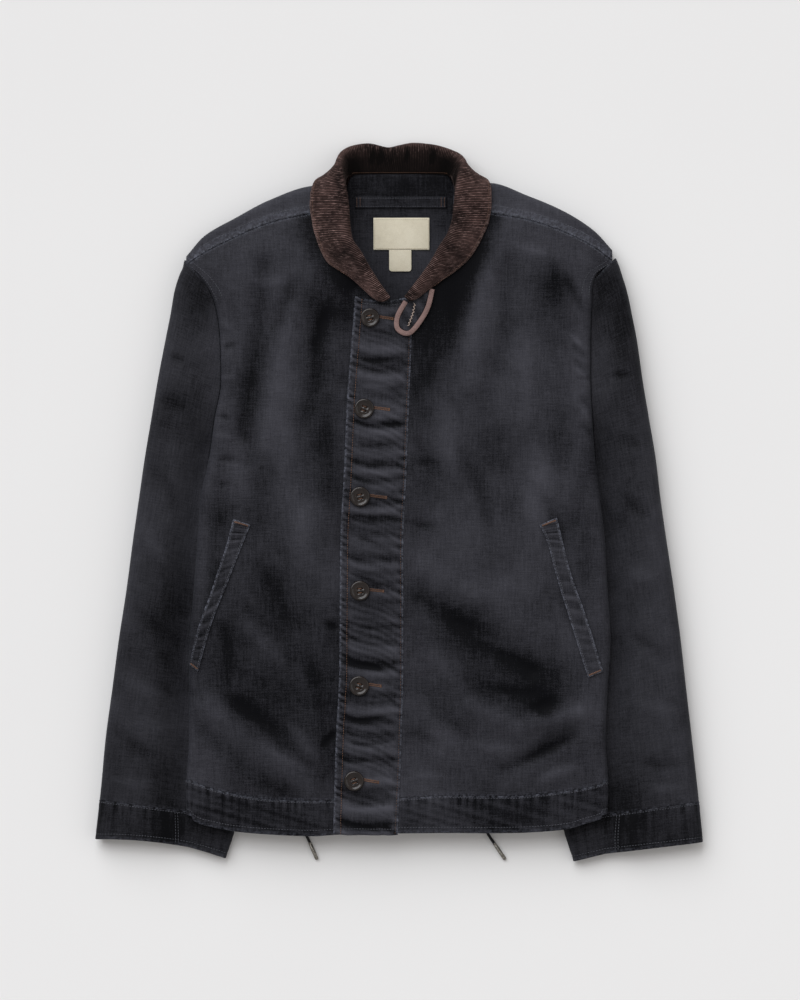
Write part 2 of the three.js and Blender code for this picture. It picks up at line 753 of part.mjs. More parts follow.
// Sleeves and cuffs share one section: a tube flat on the floor, pressed where the body lies on it
const SECTION = [
  // part, share
  ["outer", 0],
  ["outer", 30],
  ["outer", 60],
  ["outer", 90],
  ["top", 0.22],
  ["top", 0.42],
  ["top", 0.62],
  ["top", 0.8],
  ["top", 1],
  ["stripTop", 0.5],
  ["inner", 90],
  ["inner", 35],
  ["inner", -35],
  ["inner", -90],
  ["stripBottom", 0.5],
  ["bottom", 1],
  ["bottom", 0.7],
  ["bottom", 0.35],
  ["outer", -90],
  ["outer", -60],
  ["outer", -30],
];
const FIRST_HIDDEN = 8;
const LAST_HIDDEN = 15;
const SLEEVE_ROWS_ABOVE = 6;
const SLEEVE_ROWS_BELOW = 9;

// The ends of one row across a sleeve: outer edge O, body fold F and hidden inner edge I
function sleeveRow(side, outerY, innerY, hidden) {
  const { name } = side;
  const outer = [sleeveEdge[name](outerY), outerY];
  const foldY = hidden ? lerp(outerY, innerY, SLEEVE_SEAM.foldShare) : innerY;
  const fold = [foldEdge[name](foldY) + ARMHOLE_GAP, foldY];
  const inner = [stripEdge(Math.min(innerY, STRIP_TOP_Y)), innerY];
  const height = sleeveHeight(outerY);
  const armholeZ =
    topHeight(side.sign * fold[0], foldY) - foldRadius(side, foldY) + SLEEVE_SEAM.lift;
  const pressed = smooth((SLEEVE_SEAM.pressedBelow - foldY) / SLEEVE_SEAM.pressedBlend);
  return { outer, fold, inner, height, foldZ: lerp(armholeZ, STRIP_HEIGHT, pressed) };
}

function sectionPoint(side, row, [part, share], bow = 0) {
  const { outer, fold, inner, height, foldZ } = row;
  const toFold = vec(fold[0] - outer[0], fold[1] - outer[1], 0);
  const width = toFold.length();
  const along = (distance) =>
    vec(outer[0], outer[1], 0).addScaledVector(toFold, distance / width);
  const round = Math.min(SLEEVE_OUTER_ROUND, width * SLEEVE_ROUND_SHARE);
  const heightAt = (distance) =>
    lerp(foldZ, Math.max(height, foldZ), smooth((width - distance) / SLEEVE_SLOPE));
  const spread = vec(inner[0] - fold[0], inner[1] - fold[1], 0);
  const strip = (reach) => vec(fold[0], fold[1], 0).addScaledVector(spread, reach);
  const stripEnd = 1 - SLEEVE_INNER_ROUND / spread.length();
  const angle = (share * Math.PI) / 180;
  let point;
  if (part === "outer") {
    point = along(round * (1 - Math.cos(angle)));
    point.z = (heightAt(round) / 2) * (1 + Math.sin(angle));
  } else if (part === "top") {
    const distance = lerp(round, width, share);
    point = along(distance);
    point.z = heightAt(distance);
  } else if (part === "bottom") {
    point = along(lerp(round, width, share));
  } else if (part === "stripTop" || part === "stripBottom") {
    point = strip(share * stripEnd);
    point.z = part === "stripTop" ? foldZ : 0;
  } else {
    point = strip(stripEnd + (1 - stripEnd) * Math.cos(angle));
    point.z = (foldZ / 2) * (1 + Math.sin(angle));
  }
  const inwards = clamp((outer[0] - point.x) / (outer[0] - inner[0]), 0, 1);
  point.y += bow * 4 * inwards * (1 - inwards);
  point.x *= side.sign;
  return point;
}

function sleeve(side) {
  const { top, seam } = SLEEVE_ENDS[side.name];
  const stripShare = (top[1] - STRIP_TOP_Y) / (top[1] - seam[1]);
  const shares = [
    ...steps(0, stripShare, SLEEVE_ROWS_ABOVE),
    ...steps(stripShare, 1, SLEEVE_ROWS_BELOW).slice(1),
  ];
  const grid = shares.map((t, j) => {
    const row = sleeveRow(
      side,
      lerp(top[0], seam[0], t),
      lerp(top[1], seam[1], t),
      j >= SLEEVE_ROWS_ABOVE,
    );
    return SECTION.map((item) => sectionPoint(side, row, item));
  });
  const active = (j, i) => j >= SLEEVE_ROWS_ABOVE || i < FIRST_HIDDEN || i >= LAST_HIDDEN;
  return wall(grid, SHELL_WALL, side.sign < 0 ? -1 : 1, { closed: true, active });
}

function cuff(side) {
  const { seam, edge, bow } = SLEEVE_ENDS[side.name];
  const grid = steps(0, 1, 2).map((t) => {
    const row = sleeveRow(
      side,
      lerp(seam[0] - SEAM_GAP, edge[0], t),
      lerp(seam[1] - SEAM_GAP, edge[1], t),
      true,
    );
    return SECTION.map((item) => sectionPoint(side, row, item, bow * t));
  });
  return wall(grid, BAND_WALL, side.sign < 0 ? -1 : 1, { closed: true });
}

// Collar: stand from the neck seam, a roll, then the fall
const STAND_CELLS = 2;
const ROLL_CELLS = 4;
const FALL_CELLS = 4;
const COLLAR_CELLS_A_SIDE = 18;

function hermite(a, b, ta, tb, t) {
  const rest = 1 - t;
  return a
    .clone()
    .multiplyScalar(rest * rest * (1 + 2 * t))
    .addScaledVector(ta, t * rest * rest)
    .addScaledVector(b, t * t * (3 - 2 * t))
    .addScaledVector(tb, -t * t * rest);
}

// A row of the station table at a share of its length, by curves through every column
function stationAt(table, share) {
  const filled = table.map((row, k) => {
    const [nx, ny, nz, cx, cy, cz, ex, ey, ez, lean, turn] = row;
    return [
      k,
      nx,
      ny,
      nz ?? topHeight(nx, ny) + NECK_SEAM_SEAT,
      cx,
      cy,
      cz ?? topHeight(cx, cy) + ROLL_SEAT,
      ex,
      ey,
      ez ?? topHeight(ex, ey) + COLLAR_SEAT,
      lean,
      turn,
    ];
  });
  const at = share * (table.length - 1);
  return filled[0].slice(1).map((_, column) => through(filled, column + 1)(at));
}

function collarSection(station, inwards) {
  const [nx, ny, nz, cx, cy, cz, ex, ey, ez, lean, turn] = station;
  const neck = vec(nx, ny, nz);
  const centre = vec(cx, cy, cz);
  const edge = vec(ex, ey, ez);
  const tilt = (lean * Math.PI) / 180;
  const up = vec(0, 0, 1);
  const face = up.clone().multiplyScalar(Math.cos(tilt)).addScaledVector(inwards, Math.sin(tilt));
  const outwards = inwards.clone().negate();
  const crest = outwards.multiplyScalar(Math.cos(tilt)).addScaledVector(up, Math.sin(tilt));
  const around = (angle) =>
    face.clone().multiplyScalar(Math.cos(angle)).addScaledVector(crest, Math.sin(angle));
  const total = (turn * Math.PI) / 180;
  const onRoll = (angle) => centre.clone().addScaledVector(around(angle), ROLL_RADIUS);
  const start = onRoll(0);
  const end = onRoll(total);
  const points = [];
  const rise = start.distanceTo(neck);
  for (const t of steps(0, 1, STAND_CELLS).slice(0, -1)) {
    points.push(
      hermite(neck, start, start.clone().sub(neck), crest.clone().multiplyScalar(rise), t),
    );
  }
  for (const angle of steps(0, total, ROLL_CELLS)) points.push(onRoll(angle));
  const leave = around(total + Math.PI / 2);
  const span = edge.distanceTo(end);
  for (const t of steps(0, 1, FALL_CELLS).slice(1)) {
    const arrive = edge.clone().sub(end);
    const depart = leave.clone().multiplyScalar(span * COLLAR_FALL.leave);
    const point = hermite(end, edge, depart, arrive, t);
    const side = point.x < 0 ? "right" : "left";
    const shoulder = turnY[side](Math.abs(point.x)) - COLLAR_FALL.pastTurn;
    const over = point.y < shoulder && point.z > COLLAR_FALL.above;
    if (over) point.z = Math.max(point.z, topHeight(point.x, point.y) + COLLAR_SEAT);
    points.push(point);
  }
  return points;
}

function collar() {
  const half = (table) => {
    const stations = steps(0, 1, COLLAR_CELLS_A_SIDE).map((share) => stationAt(table, share));
    return stations.map((station, k) => {
      const before = stations[Math.max(0, k - 1)];
      const after = stations[Math.min(stations.length - 1, k + 1)];
      const along = vec(after[3] - before[3], after[4] - before[4], 0).normalize();
      const inwards = vec(along.y, -along.x, 0);
      const centre = vec(-station[3], NECK_CENTRE_Y - station[4], 0);
      if (inwards.dot(centre) < 0) inwards.negate();
      return collarSection(station, k === 0 ? vec(0, -1, 0) : inwards);
    });
  };
  const sections = [...half(COLLAR_RIGHT).slice(1).reverse(), ...half(COLLAR_LEFT)];
  const grid = sections[0].map((_, j) => sections.map((section) => section[j]));
  return wall(grid, COLLAR_WALL, 1);
}

// A flat piece from rows of points on the fronts, moved up by its seat
function onFront(rows, seat, thickness) {
  const grid = rows.map((row) => row.map(([x, y]) => frontFace(x, y, seat)));
  const [a, b, c] = [grid[0][0], grid[0][1], grid[1][0]];
  const facing = b.clone().sub(a).cross(c.clone().sub(a)).z > 0 ? 1 : -1;
  return wall(grid, thickness, facing);
}

// A point of the fronts' outer face with its folded edge, lifted along the normal
function frontFace(x, y, lift) {
  const side = x < 0 ? RIGHT : LEFT;
  const height = (px, py) => {
    const fold = foldEdge[side.name](py);
    const radius = foldRadius(side, py);
    const past = clamp((Math.abs(px) - fold + radius) / radius, 0, 0.98);
    return frontHeight(side, px, py) - radius * (1 - Math.sqrt(1 - past * past));
  };
  const step = 0.5;
  const dx = (height(x + step, y) - height(x - step, y)) / (2 * step);
  const dy = (height(x, y + step) - height(x, y - step)) / (2 * step);
  const normal = vec(-dx, -dy, 1).normalize();
  return vec(x, y, height(x, y)).addScaledVector(normal, lift);
}

function pocketWelt({ rows }) {
  const places = rows.map((row, k) => [k, ...row]);
  const column = [1, 2, 3, 4].map((c) => through(places, c));
  const grid = steps(0, rows.length - 1, WELT_CELLS.along).map((k) =>
    steps(0, 1, WELT_CELLS.across).map((u) => [
      lerp(column[0](k), column[2](k), u),
      lerp(column[1](k), column[3](k), u),
    ]),
  );
  return onFront(grid, WELT_SEAT + WELT_WALL, WELT_WALL);
}

// Throat tab: a leaf inside a binding that runs round its edge
function tabPath() {
  const curve = new THREE.CatmullRomCurve3(TAB_OUTLINE.map(([x, y]) => vec(x, y, 0)));
  const outer = curve.getSpacedPoints(TAB_CELLS.along);
  const inner = outer.map((p, k) => {
    const before = outer[Math.max(0, k - 1)];
    const after = outer[Math.min(outer.length - 1, k + 1)];
    const along = after.clone().sub(before).normalize();
    return vec(p.x - along.y * TAB.binding, p.y + along.x * TAB.binding, 0);
  });
  return { outer, inner };
}

function lifted(points, lift) {
  return points.map((p) => vec(p.x, p.y, topHeight(p.x, p.y) + lift));
}

function tabBinding() {
  const { outer, inner } = tabPath();
  const rows = [lifted(outer, TAB.bindingSeat), lifted(inner, TAB.bindingSeat)];
  return wall(rows, TAB.bindingWall, 1);
}

function tabLeaf() {
  const { inner } = tabPath();
  const half = Math.floor(inner.length / 2) - 1;
  const middle = inner[half + 1];
  const grid = steps(0, half, half).map((j) => {
    const a = inner[j];
    const b = inner[inner.length - 1 - j];
    const gap = SEAM_GAP / a.distanceTo(b);
    return lifted(
      steps(gap, 1 - gap, TAB_CELLS.across).map((u) =>
        a.clone().lerp(b, u).lerp(middle, TAB_LEAF_INSET),
      ),
      TAB.seat,
    );
  });
  return wall(grid, TAB.wall, -1);
}

function lyingInside({ x, y, wall: thickness, lift }) {
  const grid = steps(y[1], y[0], LABEL_CELLS.down).map((py) =>
    steps(x[0], x[1], LABEL_CELLS.across).map((px) => {
      const side = px < 0 ? RIGHT : LEFT;
      const floor = backHeight(side, Math.abs(px), py) + SHELL_WALL;
      return vec(px, py, floor + lift + thickness);
    }),
  );
  return wall(grid, thickness, -1);
}

// Buttons: a turned disc with a raised rim and four holes
function solidOf(geometry) {
  const position = geometry.getAttribute("position").array;
  return new wasm.Manifold(
    new wasm.Mesh({
      numProp: 3,
      vertProperties: new Float32Array(position),
      triVerts: new Uint32Array(geometry.index.array),
    }),
  );
}

function geometryOf(solid) {
  const mesh = solid.getMesh();
  const geometry = new THREE.BufferGeometry();
  geometry.setAttribute("position", new THREE.BufferAttribute(mesh.vertProperties, 3));
  geometry.setIndex(new THREE.BufferAttribute(mesh.triVerts, 1));
  return geometry;
}

// A closed turned body from rings of points, with a point at each end of the axis
function turned(rings, sides) {
  const points = [vec(0, 0, rings[0][1])];
  for (const [radius, z] of rings) {
    for (let k = 0; k < sides; k += 1) {
      const angle = (k / sides) * 2 * Math.PI;
      points.push(vec(radius * Math.cos(angle), radius * Math.sin(angle), z));
    }
  }
  points.push(vec(0, 0, rings[rings.length - 1][1]));
  const last = points.length - 1;
  const at = (ring, k) => 1 + ring * sides + (k % sides);
  const triangles = [];
  for (let k = 0; k < sides; k += 1) {
    triangles.push([0, at(0, k + 1), at(0, k)]);
    triangles.push([last, at(rings.length - 1, k), at(rings.length - 1, k + 1)]);
    for (let r = 0; r < rings.length - 1; r += 1) {
      triangles.push([at(r, k), at(r, k + 1), at(r + 1, k + 1)]);
      triangles.push([at(r, k), at(r + 1, k + 1), at(r + 1, k)]);
    }
  }
  return closedMesh(points, triangles);
}

function button([x, y, radius]) {
  const rings = BUTTON_PROFILE.map(([share, z]) => [share * radius, z]);
  rings.push([radius * BUTTON_DISH, BUTTON_FACE]);
  let solid = solidOf(turned(rings, BUTTON_SIDES));
  const { off, sides, from, to } = BUTTON_HOLE;
  for (const [dx, dy] of [[off, off], [-off, off], [-off, -off], [off, -off]]) {
    const hole = turned([[BUTTON_HOLE.radius, from], [BUTTON_HOLE.radius, to]], sides);
    hole.translate(dx, dy, 0);
    solid = solid.subtract(solidOf(hole));
  }
  const geometry = geometryOf(solid);
  const seat = vec(x, y, topHeight(x, y));
  const reach = BUTTON_REACH;
  const normal = vec(
    (topHeight(x - reach, y) - topHeight(x + reach, y)) / (2 * reach),
    (topHeight(x, y - reach) - topHeight(x, y + reach)) / (2 * reach),
    1,
  ).normalize();
  geometry.applyQuaternion(new THREE.Quaternion().setFromUnitVectors(vec(0, 0, 1), normal));
  seat.addScaledVector(normal, PLACKET_LIFT + BUTTON_SEAT);
  geometry.translate(seat.x, seat.y, seat.z);
  return geometry;
}

// Drawcords and their metal tips
function drawcord({ from, route }) {
  const start = vec(from[0], from[1], topHeight(...from) - BAND_WALL - CORD_BELOW_BAND);
  const path = new THREE.CatmullRomCurve3([start, ...route.map((p) => vec(...p))]);
  const shape = new THREE.Shape();
  for (let k = 0; k < CORD_SIDES; k += 1) {
    const angle = ((k + 0.5) / CORD_SIDES) * 2 * Math.PI;
    const point = [CORD_RADIUS * Math.cos(angle), CORD_RADIUS * Math.sin(angle)];
    if (k === 0) shape.moveTo(...point);
    else shape.lineTo(...point);
  }
  return new THREE.ExtrudeGeometry(shape, {
    extrudePath: path,
    steps: CORD_CELLS,
    curveSegments: 1,
    bevelEnabled: false,
  });
}

function cordTip({ route, tip }) {
  const last = vec(...route[route.length - 1]);
  const end = vec(tip[0], tip[1], TIP.radius + TIP.floor);
  const start = vec(last.x, last.y, TIP.radius + TIP.floor);
  const along = end.clone().sub(start).normalize();
  start.addScaledVector(along, TIP.gap);
  const length = end.distanceTo(start);
  const geometry = turned(
    [
      [TIP.radius, 0],
      [TIP.radius, length * TIP.shoulder],
      [TIP.nose, length],
    ],
    CORD_SIDES,
  );
  geometry.rotateZ(Math.PI / CORD_SIDES);
  geometry.applyQuaternion(new THREE.Quaternion().setFromUnitVectors(vec(0, 0, 1), along));
  geometry.translate(start.x, start.y, start.z + TIP.lift);
  return geometry;
}

const COLOURS = {
  cloth: 0x26272d,
  corduroy: 0x3a2c29,
  binding: 0x7b6460,
  label: 0xd6cdaf,
  button: 0x1d1512,
  cord: 0x121214,
  metal: 0xb9b6ad,
};

const jacket = new THREE.Group();
function add(name, geometry, colour) {
  const material = new THREE.MeshStandardMaterial({ color: colour, roughness: 0.9 });
  const mesh = new THREE.Mesh(geometry, material);
  mesh.name = name;
  jacket.add(mesh);
}

add("back", backPanel(), COLOURS.cloth);
add("hem_band", hemBand(), COLOURS.cloth);
add("placket", placket(), COLOURS.cloth);
add("collar", collar(), COLOURS.corduroy);
for (const side of SIDES) {
  add("front_" + side.name, frontPanel(side), COLOURS.cloth);
  add("sleeve_" + side.name, sleeve(side), COLOURS.cloth);
  add("cuff_" + side.name, cuff(side), COLOURS.cloth);
}
for (const welt of WELTS) add(welt.name, pocketWelt(welt), COLOURS.cloth);
add("throat_tab", tabLeaf(), COLOURS.cloth);
add("tab_binding", tabBinding(), COLOURS.binding);
for (const piece of LABELS) {
  const colour = piece.name === "hanger_loop" ? COLOURS.cloth : COLOURS.label;
  add(piece.name, lyingInside(piece), colour);
}
BUTTONS.forEach((row, k) => add("button_" + (k + 1), button(row), COLOURS.button));
for (const cord of CORDS) {
  add("drawcord_" + cord.side, drawcord(cord), COLOURS.cord);
  add("cord_tip_" + cord.side, cordTip(cord), COLOURS.metal);
}

export default jacket;
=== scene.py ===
"""Looks of the deck jacket, laid flat on its back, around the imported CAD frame.

Lengths in the tables and the cloth functions are in millimetres, as in the part's source. Meshes are
in metres. X runs to the left sleeve, Y to the collar and Z up. Lengths called q are distances from the
centre line. A grid is an array of points in rows along a piece of cloth and columns across it.
"""

import bmesh
import bpy
import numpy as np
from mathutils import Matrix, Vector


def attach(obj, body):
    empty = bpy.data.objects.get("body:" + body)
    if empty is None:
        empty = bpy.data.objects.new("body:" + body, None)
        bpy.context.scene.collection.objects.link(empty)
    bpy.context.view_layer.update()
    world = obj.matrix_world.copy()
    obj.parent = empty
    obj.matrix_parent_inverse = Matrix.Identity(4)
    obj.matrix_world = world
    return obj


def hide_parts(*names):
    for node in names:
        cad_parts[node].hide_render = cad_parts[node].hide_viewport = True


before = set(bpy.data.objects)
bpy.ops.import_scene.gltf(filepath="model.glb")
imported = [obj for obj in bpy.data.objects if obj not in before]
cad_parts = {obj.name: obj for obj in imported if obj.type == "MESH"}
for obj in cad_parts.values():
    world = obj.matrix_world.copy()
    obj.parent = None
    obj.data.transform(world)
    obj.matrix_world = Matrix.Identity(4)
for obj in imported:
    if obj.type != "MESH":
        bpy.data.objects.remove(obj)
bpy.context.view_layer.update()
MM = 0.001
SIGN = {"right": -1, "left": 1}

# Camera: straight above, with a long lens, over an area as tall as the photograph shows
VIEW_HEIGHT = 1.05
VIEW_CENTRE = (0.0008, 0.0016, 0.028)
CAMERA_DISTANCE = 8.0
SENSOR = 36.0

# Cords: the route of each free end in metres, from under the hem band, and the end of its tip
CORD_RADIUS = 0.0015
CORDS = {
    "right": {
        "route": [
            (-0.1015, -0.338, 0.0175),
            (-0.1012, -0.340, 0.011),
            (-0.1000, -0.3445, 0.0062),
            (-0.0985, -0.350, 0.0039),
            (-0.0962, -0.355, 0.0023),
            (-0.0944, -0.359, 0.0019),
        ],
        "tip": (-0.0865, -0.3772),
    },
    "left": {
        "route": [
            (0.0890, -0.335, 0.0175),
            (0.0893, -0.3375, 0.011),
            (0.0905, -0.3425, 0.0062),
            (0.0930, -0.349, 0.0039),
            (0.0965, -0.355, 0.0023),
            (0.1000, -0.360, 0.0019),
        ],
        "tip": (0.1116, -0.3772),
    },
}
CORD_BELOW_BAND = 0.5
TIP_RADIUS = 1.9
TIP_SIDES = 24
TIP_GAP = 0.3

# Cloth and gaps
SHELL_WALL = 2.0
BAND_WALL = 2.2
PLACKET_WALL = 2.4
COLLAR_WALL = 3.0
SEAM_GAP = 0.5
SIDE_SEAM_GAP = 1.0
PLACKET_LIFT = 0.6
PLACKET_DROP = 2.8
PLACKET_BLEND = 22
STRIP_HEIGHT = 13.3
BODY_LEVEL = 14.3
LEVEL_RAMP = 36
TUCK_LENGTH = 40
UNDERARM_Y = 49
UNDERARM_BLEND = 60
STRIP_TOP_Y = 36
HPS_Q = 57
SHOULDER_END_Q = 224
TUCK_COLUMN_Q = 155
SHOULDER_RISE = 35
NECK_LEVEL = 4.6
NECK_CENTRE_Y = 290
ARMHOLE_TOP_Y = 251
EDGE_DROP_POWER = 2.5
PLACKET_PRESS = {"top": 244, "blend": 26}
BACK_RISE = {"strip_side": 6, "above": 46, "neck_y": 180, "neck_blend": 60, "neck_q": 98, "neck_fade": 30}
ARMHOLE_GAP = 1.8
ARMHOLE_SHOWN_GAP = 0.5
SLEEVE_OUTER_ROUND = 11
SLEEVE_INNER_ROUND = 6
SLEEVE_ROUND_SHARE = 0.4
SLEEVE_SLOPE = 38
SETTLING_STEPS = 40

EDGES = [
    # y, right sleeve, left sleeve, right fold, left fold
    (256, 227, 231, 231, 232),
    (251, 230, 233, 226, 225),
    (245, 231, 235, 219, 215),
    (238, 233.5, 236.5, 211, 207),
    (222, 237, 240, 199.5, 202.5),
    (201, 240, 244, 192, 202),
    (170, 246, 250, 188, 201),
    (128, 254, 256, 187, 201),
    (86, 261, 263, 194, 203),
    (44, 268, 270, 200, 206),
    (2, 274, 275, 209, 211),
    (-40, 280, 281, 212, 216),
    (-93, 287, 289, 216, 219),
    (-145, 295, 296, 220, 222),
    (-198, 302, 302, 221, 219),
    (-250, 309, 308, 221, 217),
    (-303, 314, 314, 224, 220),
    (-355, 320, 319.5, 222, 216),
]
HEIGHTS = [
    # y, at the centre, at the folded edge
    (340, 40, 32),
    (200, 42, 31),
    (90, 42, 33),
    (0, 41, 35),
    (-100, 39, 35),
    (-200, 36, 32),
    (-290, 32, 29),
    (-350, 29, 26),
]
SHOULDER = [
    # q, seam y right, seam y left, seam z, turn y right, turn y left
    (57, 312, 312, 29, 336, 336),
    (80, 306.5, 307.5, 28.3, 333, 334),
    (95, 303, 304, 27.6, 331.5, 335),
    (137, 293, 296, 26.4, 317, 321),
    (173, 278, 284, 25, 298, 305.5),
    (205, 262, 268, 23, 279.5, 285),
    (225, 249.5, 253.6, 21.3, 257, 263.5),
    (232, 245, 249, 21, 250, 256),
]
HEM = [
    # q, seam right, seam left, bottom right, bottom left
    (0, -313.4, -311.3, -349.5, -348.1),
    (60, -313.5, -308.4, -349.5, -347.7),
    (90, -313.9, -309.1, -351.1, -347.9),
    (120, -313.2, -309.1, -350.2, -347.7),
    (150, -311, -306.8, -348.4, -346.4),
    (175, -306.5, -303.8, -345.8, -343.9),
    (195, -301.6, -300.6, -341.9, -338.2),
    (210, -296.7, -296.9, -338, -333.6),
    (222, -292.4, -293.2, -330.2, -327.5),
]
FRONT_START = [
    # y, right panel q, left panel x
    (312, 57, 61.6),
    (297, 56.2, 60.6),
    (280, 52.6, 55.6),
    (265, 43.8, 46.2),
    (252, 36, 37.8),
    (238, 27.8, 28.4),
    (224, 19.2, 17.6),
    (214, 13.9, 12.6),
]
PLACKET = [
    # y, free edge x, seam x
    (214, -45.9, 12.6),
    (175, -48.8, 12.5),
    (107, -54.1, 9.9),
    (30, -57.5, 7),
    (-48, -61.4, 3.6),
    (-173, -62.2, 3.7),
    (-261, -66.4, 1.5),
    (-350, -68.8, -2.3),
]
SLEEVE = [
    # y, inner edge q, height
    (251, 150, 21),
    (200, 150, 24.5),
    (100, 148, 28),
    (49, 144, 28.5),
    (-103, 157, 28),
    (-229, 167, 26),
    (-334, 171, 22),
    (-378, 183, 19),
]
SLEEVE_ENDS = {
    "right": {"top": (252.5, 230.5), "seam": (-313.4, -334), "edge": (-354.7, -375.3), "bow": 5},
    "left": {"top": (254.5, 233), "seam": (-315.5, -338), "edge": (-357.9, -378.5), "bow": 0},
}
FOLD_RADIUS = [
    # y, radius
    (49, 9.6),
    (120, 7),
    (220, 5.5),
    (251, 4),
]
FOLDS = [
    # x1, y1, x2, y2, x3, y3, width, height: below zero is a trough
    (-142, 250, -146, 188, -165, 70, 11, -2.4),
    (-108, 198, -125, 140, -148, 30, 12, 1.8),
    (-80, 188, -82, 135, -102, 81, 10, -1.6),
    (-200, -215, -150, -262, -92, -300, 12, 2),
    (-205, -245, -160, -285, -110, -312, 10, -1.6),
    (117, 250, 113, 188, 106, 135, 11, -2),
    (95, 250, 87, 188, 76, 124, 11, 1.6),
    (22, -100, 60, -128, 138, -177, 11, -2.6),
    (30, -70, 80, -100, 150, -140, 12, 1.3),
    (74, -213, 125, -237, 190, -222, 11, 2.6),
    (110, -282, 140, -266, 180, -246, 10, -1.9),
    (202, 39, 195, 10, 184, -22, 10, -1.6),
]
COLLAR_RIGHT = [
    # Nx, Ny, Nz, Cx, Cy, Cz, Ex, Ey, Ez, lean, turn
    (0, 345.4, 7.3, 0.8, 370.6, 4.8, 0.8, 321, 0, 0, 180),
    (-15, 345.4, 7.3, -11.8, 368.2, 4.8, -15, 321, 0, 0, 180),
    (-34, 345.2, 7.5, -32.8, 372.4, 5.2, -34.9, 321, 0, 2, 180),
    (-47, 344.8, 8.4, -50, 369.5, 7.5, -53.8, 321.5, 0, 10, 175),
    (-53.2, 342.4, 11.2, -59, 363.5, 14, -70, 327, 0, 30, 165),
    (-54.8, 340, 16, -62, 357, 21.5, -77, 335, 2.2, 45, 150),
    (-55.6, 337.6, 24.5, -63.5, 350, 29, -85.5, 340, 12, 62, 130),
    (-55.9, 331.5, 29.2, -61, 334, 34, -91.5, 331, 28.5, 80, 110),
    (-56.2, 311, 30.4, -57.6, 311.5, 36, -93.3, 311, 33.5, 90, 100),
    (-54.9, 293.5, None, -56, 291.4, None, -90.7, 292.4, None, 90, 100),
    (-51.8, 279.5, None, -53.6, 275, None, -86.3, 275.6, None, 90, 100),
    (-42.7, 264.6, None, -43.8, 259.5, None, -81.6, 263, None, 90, 100),
    (-34.4, 251, None, -35.2, 244, None, -74.2, 250.4, None, 90, 100),
    (-25.4, 235.8, None, -26, 229.5, None, -65.3, 243.6, None, 90, 100),
    (-12.6, 216.5, None, -13.4, 211.6, None, -54.8, 237.3, None, 90, 100),
]
COLLAR_LEFT = [
    # Nx, Ny, Nz, Cx, Cy, Cz, Ex, Ey, Ez, lean, turn
    (0, 345.4, 7.3, 0.8, 370.6, 4.8, 0.8, 321, 0, 0, 180),
    (16, 345.4, 7.3, 15.5, 373, 4.8, 16.6, 321, 0, 0, 180),
    (34, 345.2, 7.5, 34.4, 371.4, 5.2, 36.5, 321, 0, 2, 180),
    (48, 344.8, 8.4, 53, 366, 7.5, 54.4, 321.5, 0, 10, 175),
    (53.6, 342.4, 11.2, 61, 362, 14, 71, 327, 0, 30, 165),
    (54.8, 340, 16, 65.5, 357, 21.5, 80, 336, 2.2, 45, 150),
    (55.6, 337.6, 24.5, 67.5, 350, 29, 89.5, 341, 12, 62, 130),
    (57.4, 331.5, 29.2, 64.5, 334.5, 34, 96, 332, 28.5, 80, 110),
    (60.4, 311, 30.4, 61.8, 312.5, 36, 96.4, 312, 33.5, 90, 100),
    (59.4, 297.7, None, 60.4, 297.5, None, 94, 296.6, None, 90, 100),
    (54.8, 281.5, None, 55, 280, None, 87.5, 279.8, None, 90, 100),
    (45, 266.5, None, 45.6, 265, None, 80.1, 265.1, None, 90, 100),
    (36.6, 254, None, 37.4, 250.4, None, 70.7, 252.5, None, 90, 100),
    (27, 240.5, None, 28.2, 236.8, None, 59.1, 242.2, None, 90, 100),
    (10.6, 217, None, 9.3, 212.2, None, 37.3, 226.3, None, 90, 100),
]
ROLL_RADIUS = 4.8
COLLAR_SEAT = 3.7
ROLL_SEAT = 4.4
NECK_SEAM_SEAT = 0.5
WALE_PITCH = 1.8
WALE_HEIGHT = 0.5

BUTTONS = [
    # x, y, radius
    (-30.7, 192.7, 10),
    (-36.8, 97.4, 10.5),
    (-41.2, 5.1, 10.5),
    (-41.2, -93.5, 10.5),
    (-42.2, -193.3, 10.5),
    (-47.5, -293.1, 10.5),
]
WELTS = {
    "pocket_welt_right": [
        # outer x, outer y, inner x, inner y
        (-174, -19, -156.2, -24.4),
        (-179.3, -40, -163, -41),
        (-193.4, -84, -178.3, -80),
        (-211.3, -136, -199, -134),
        (-218.6, -171, -211.3, -178),
    ],
    "pocket_welt_left": [
        (165.4, -17.3, 147.2, -24.4),
        (170.5, -40, 155, -41),
        (179.3, -74, 164.5, -76),
        (195.5, -120, 178.5, -122),
        (213.5, -178, 198.2, -184.5),
    ],
}
WELT_SEAT = 0.6
WELT_WALL = 1.6
TAB_OUTLINE = [
    # x, y
    (4.4, 210.6),
    (-4.1, 194.8),
    (-4.4, 181.1),
    (4.6, 174.1),
    (14.3, 176.1),
    (25.9, 190.6),
    (32.8, 204.2),
    (37, 221.8),
]
TAB = {"binding": 5, "seat": 3.4, "wall": 2, "binding_seat": 4, "binding_wall": 2.7}
LABELS = {
    "hanger_loop": {"x": (-46.5, 49.5), "y": (309.2, 320.8), "wall": 1.1, "lift": 0.5},
    "neck_label": {"x": (-27, 31.6), "y": (265, 298.5), "wall": 0.8, "lift": 0.5},
    "size_tag": {"x": (-10.5, 12.7), "y": (242.2, 264.5), "wall": 0.7, "lift": 0.6},
}
NECK_EDGE = [
    # q, y of the neck edge
    (0, 344.9),
    (40, 344.7),
    (49, 343.6),
    (54, 339.6),
    (57, 333),
]


# Interpolation and small helpers
def lerp(a, b, t):
    return a + (b - a) * t


def smooth(t):
    k = np.clip(t, 0, 1)
    return k * k * (3 - 2 * k)


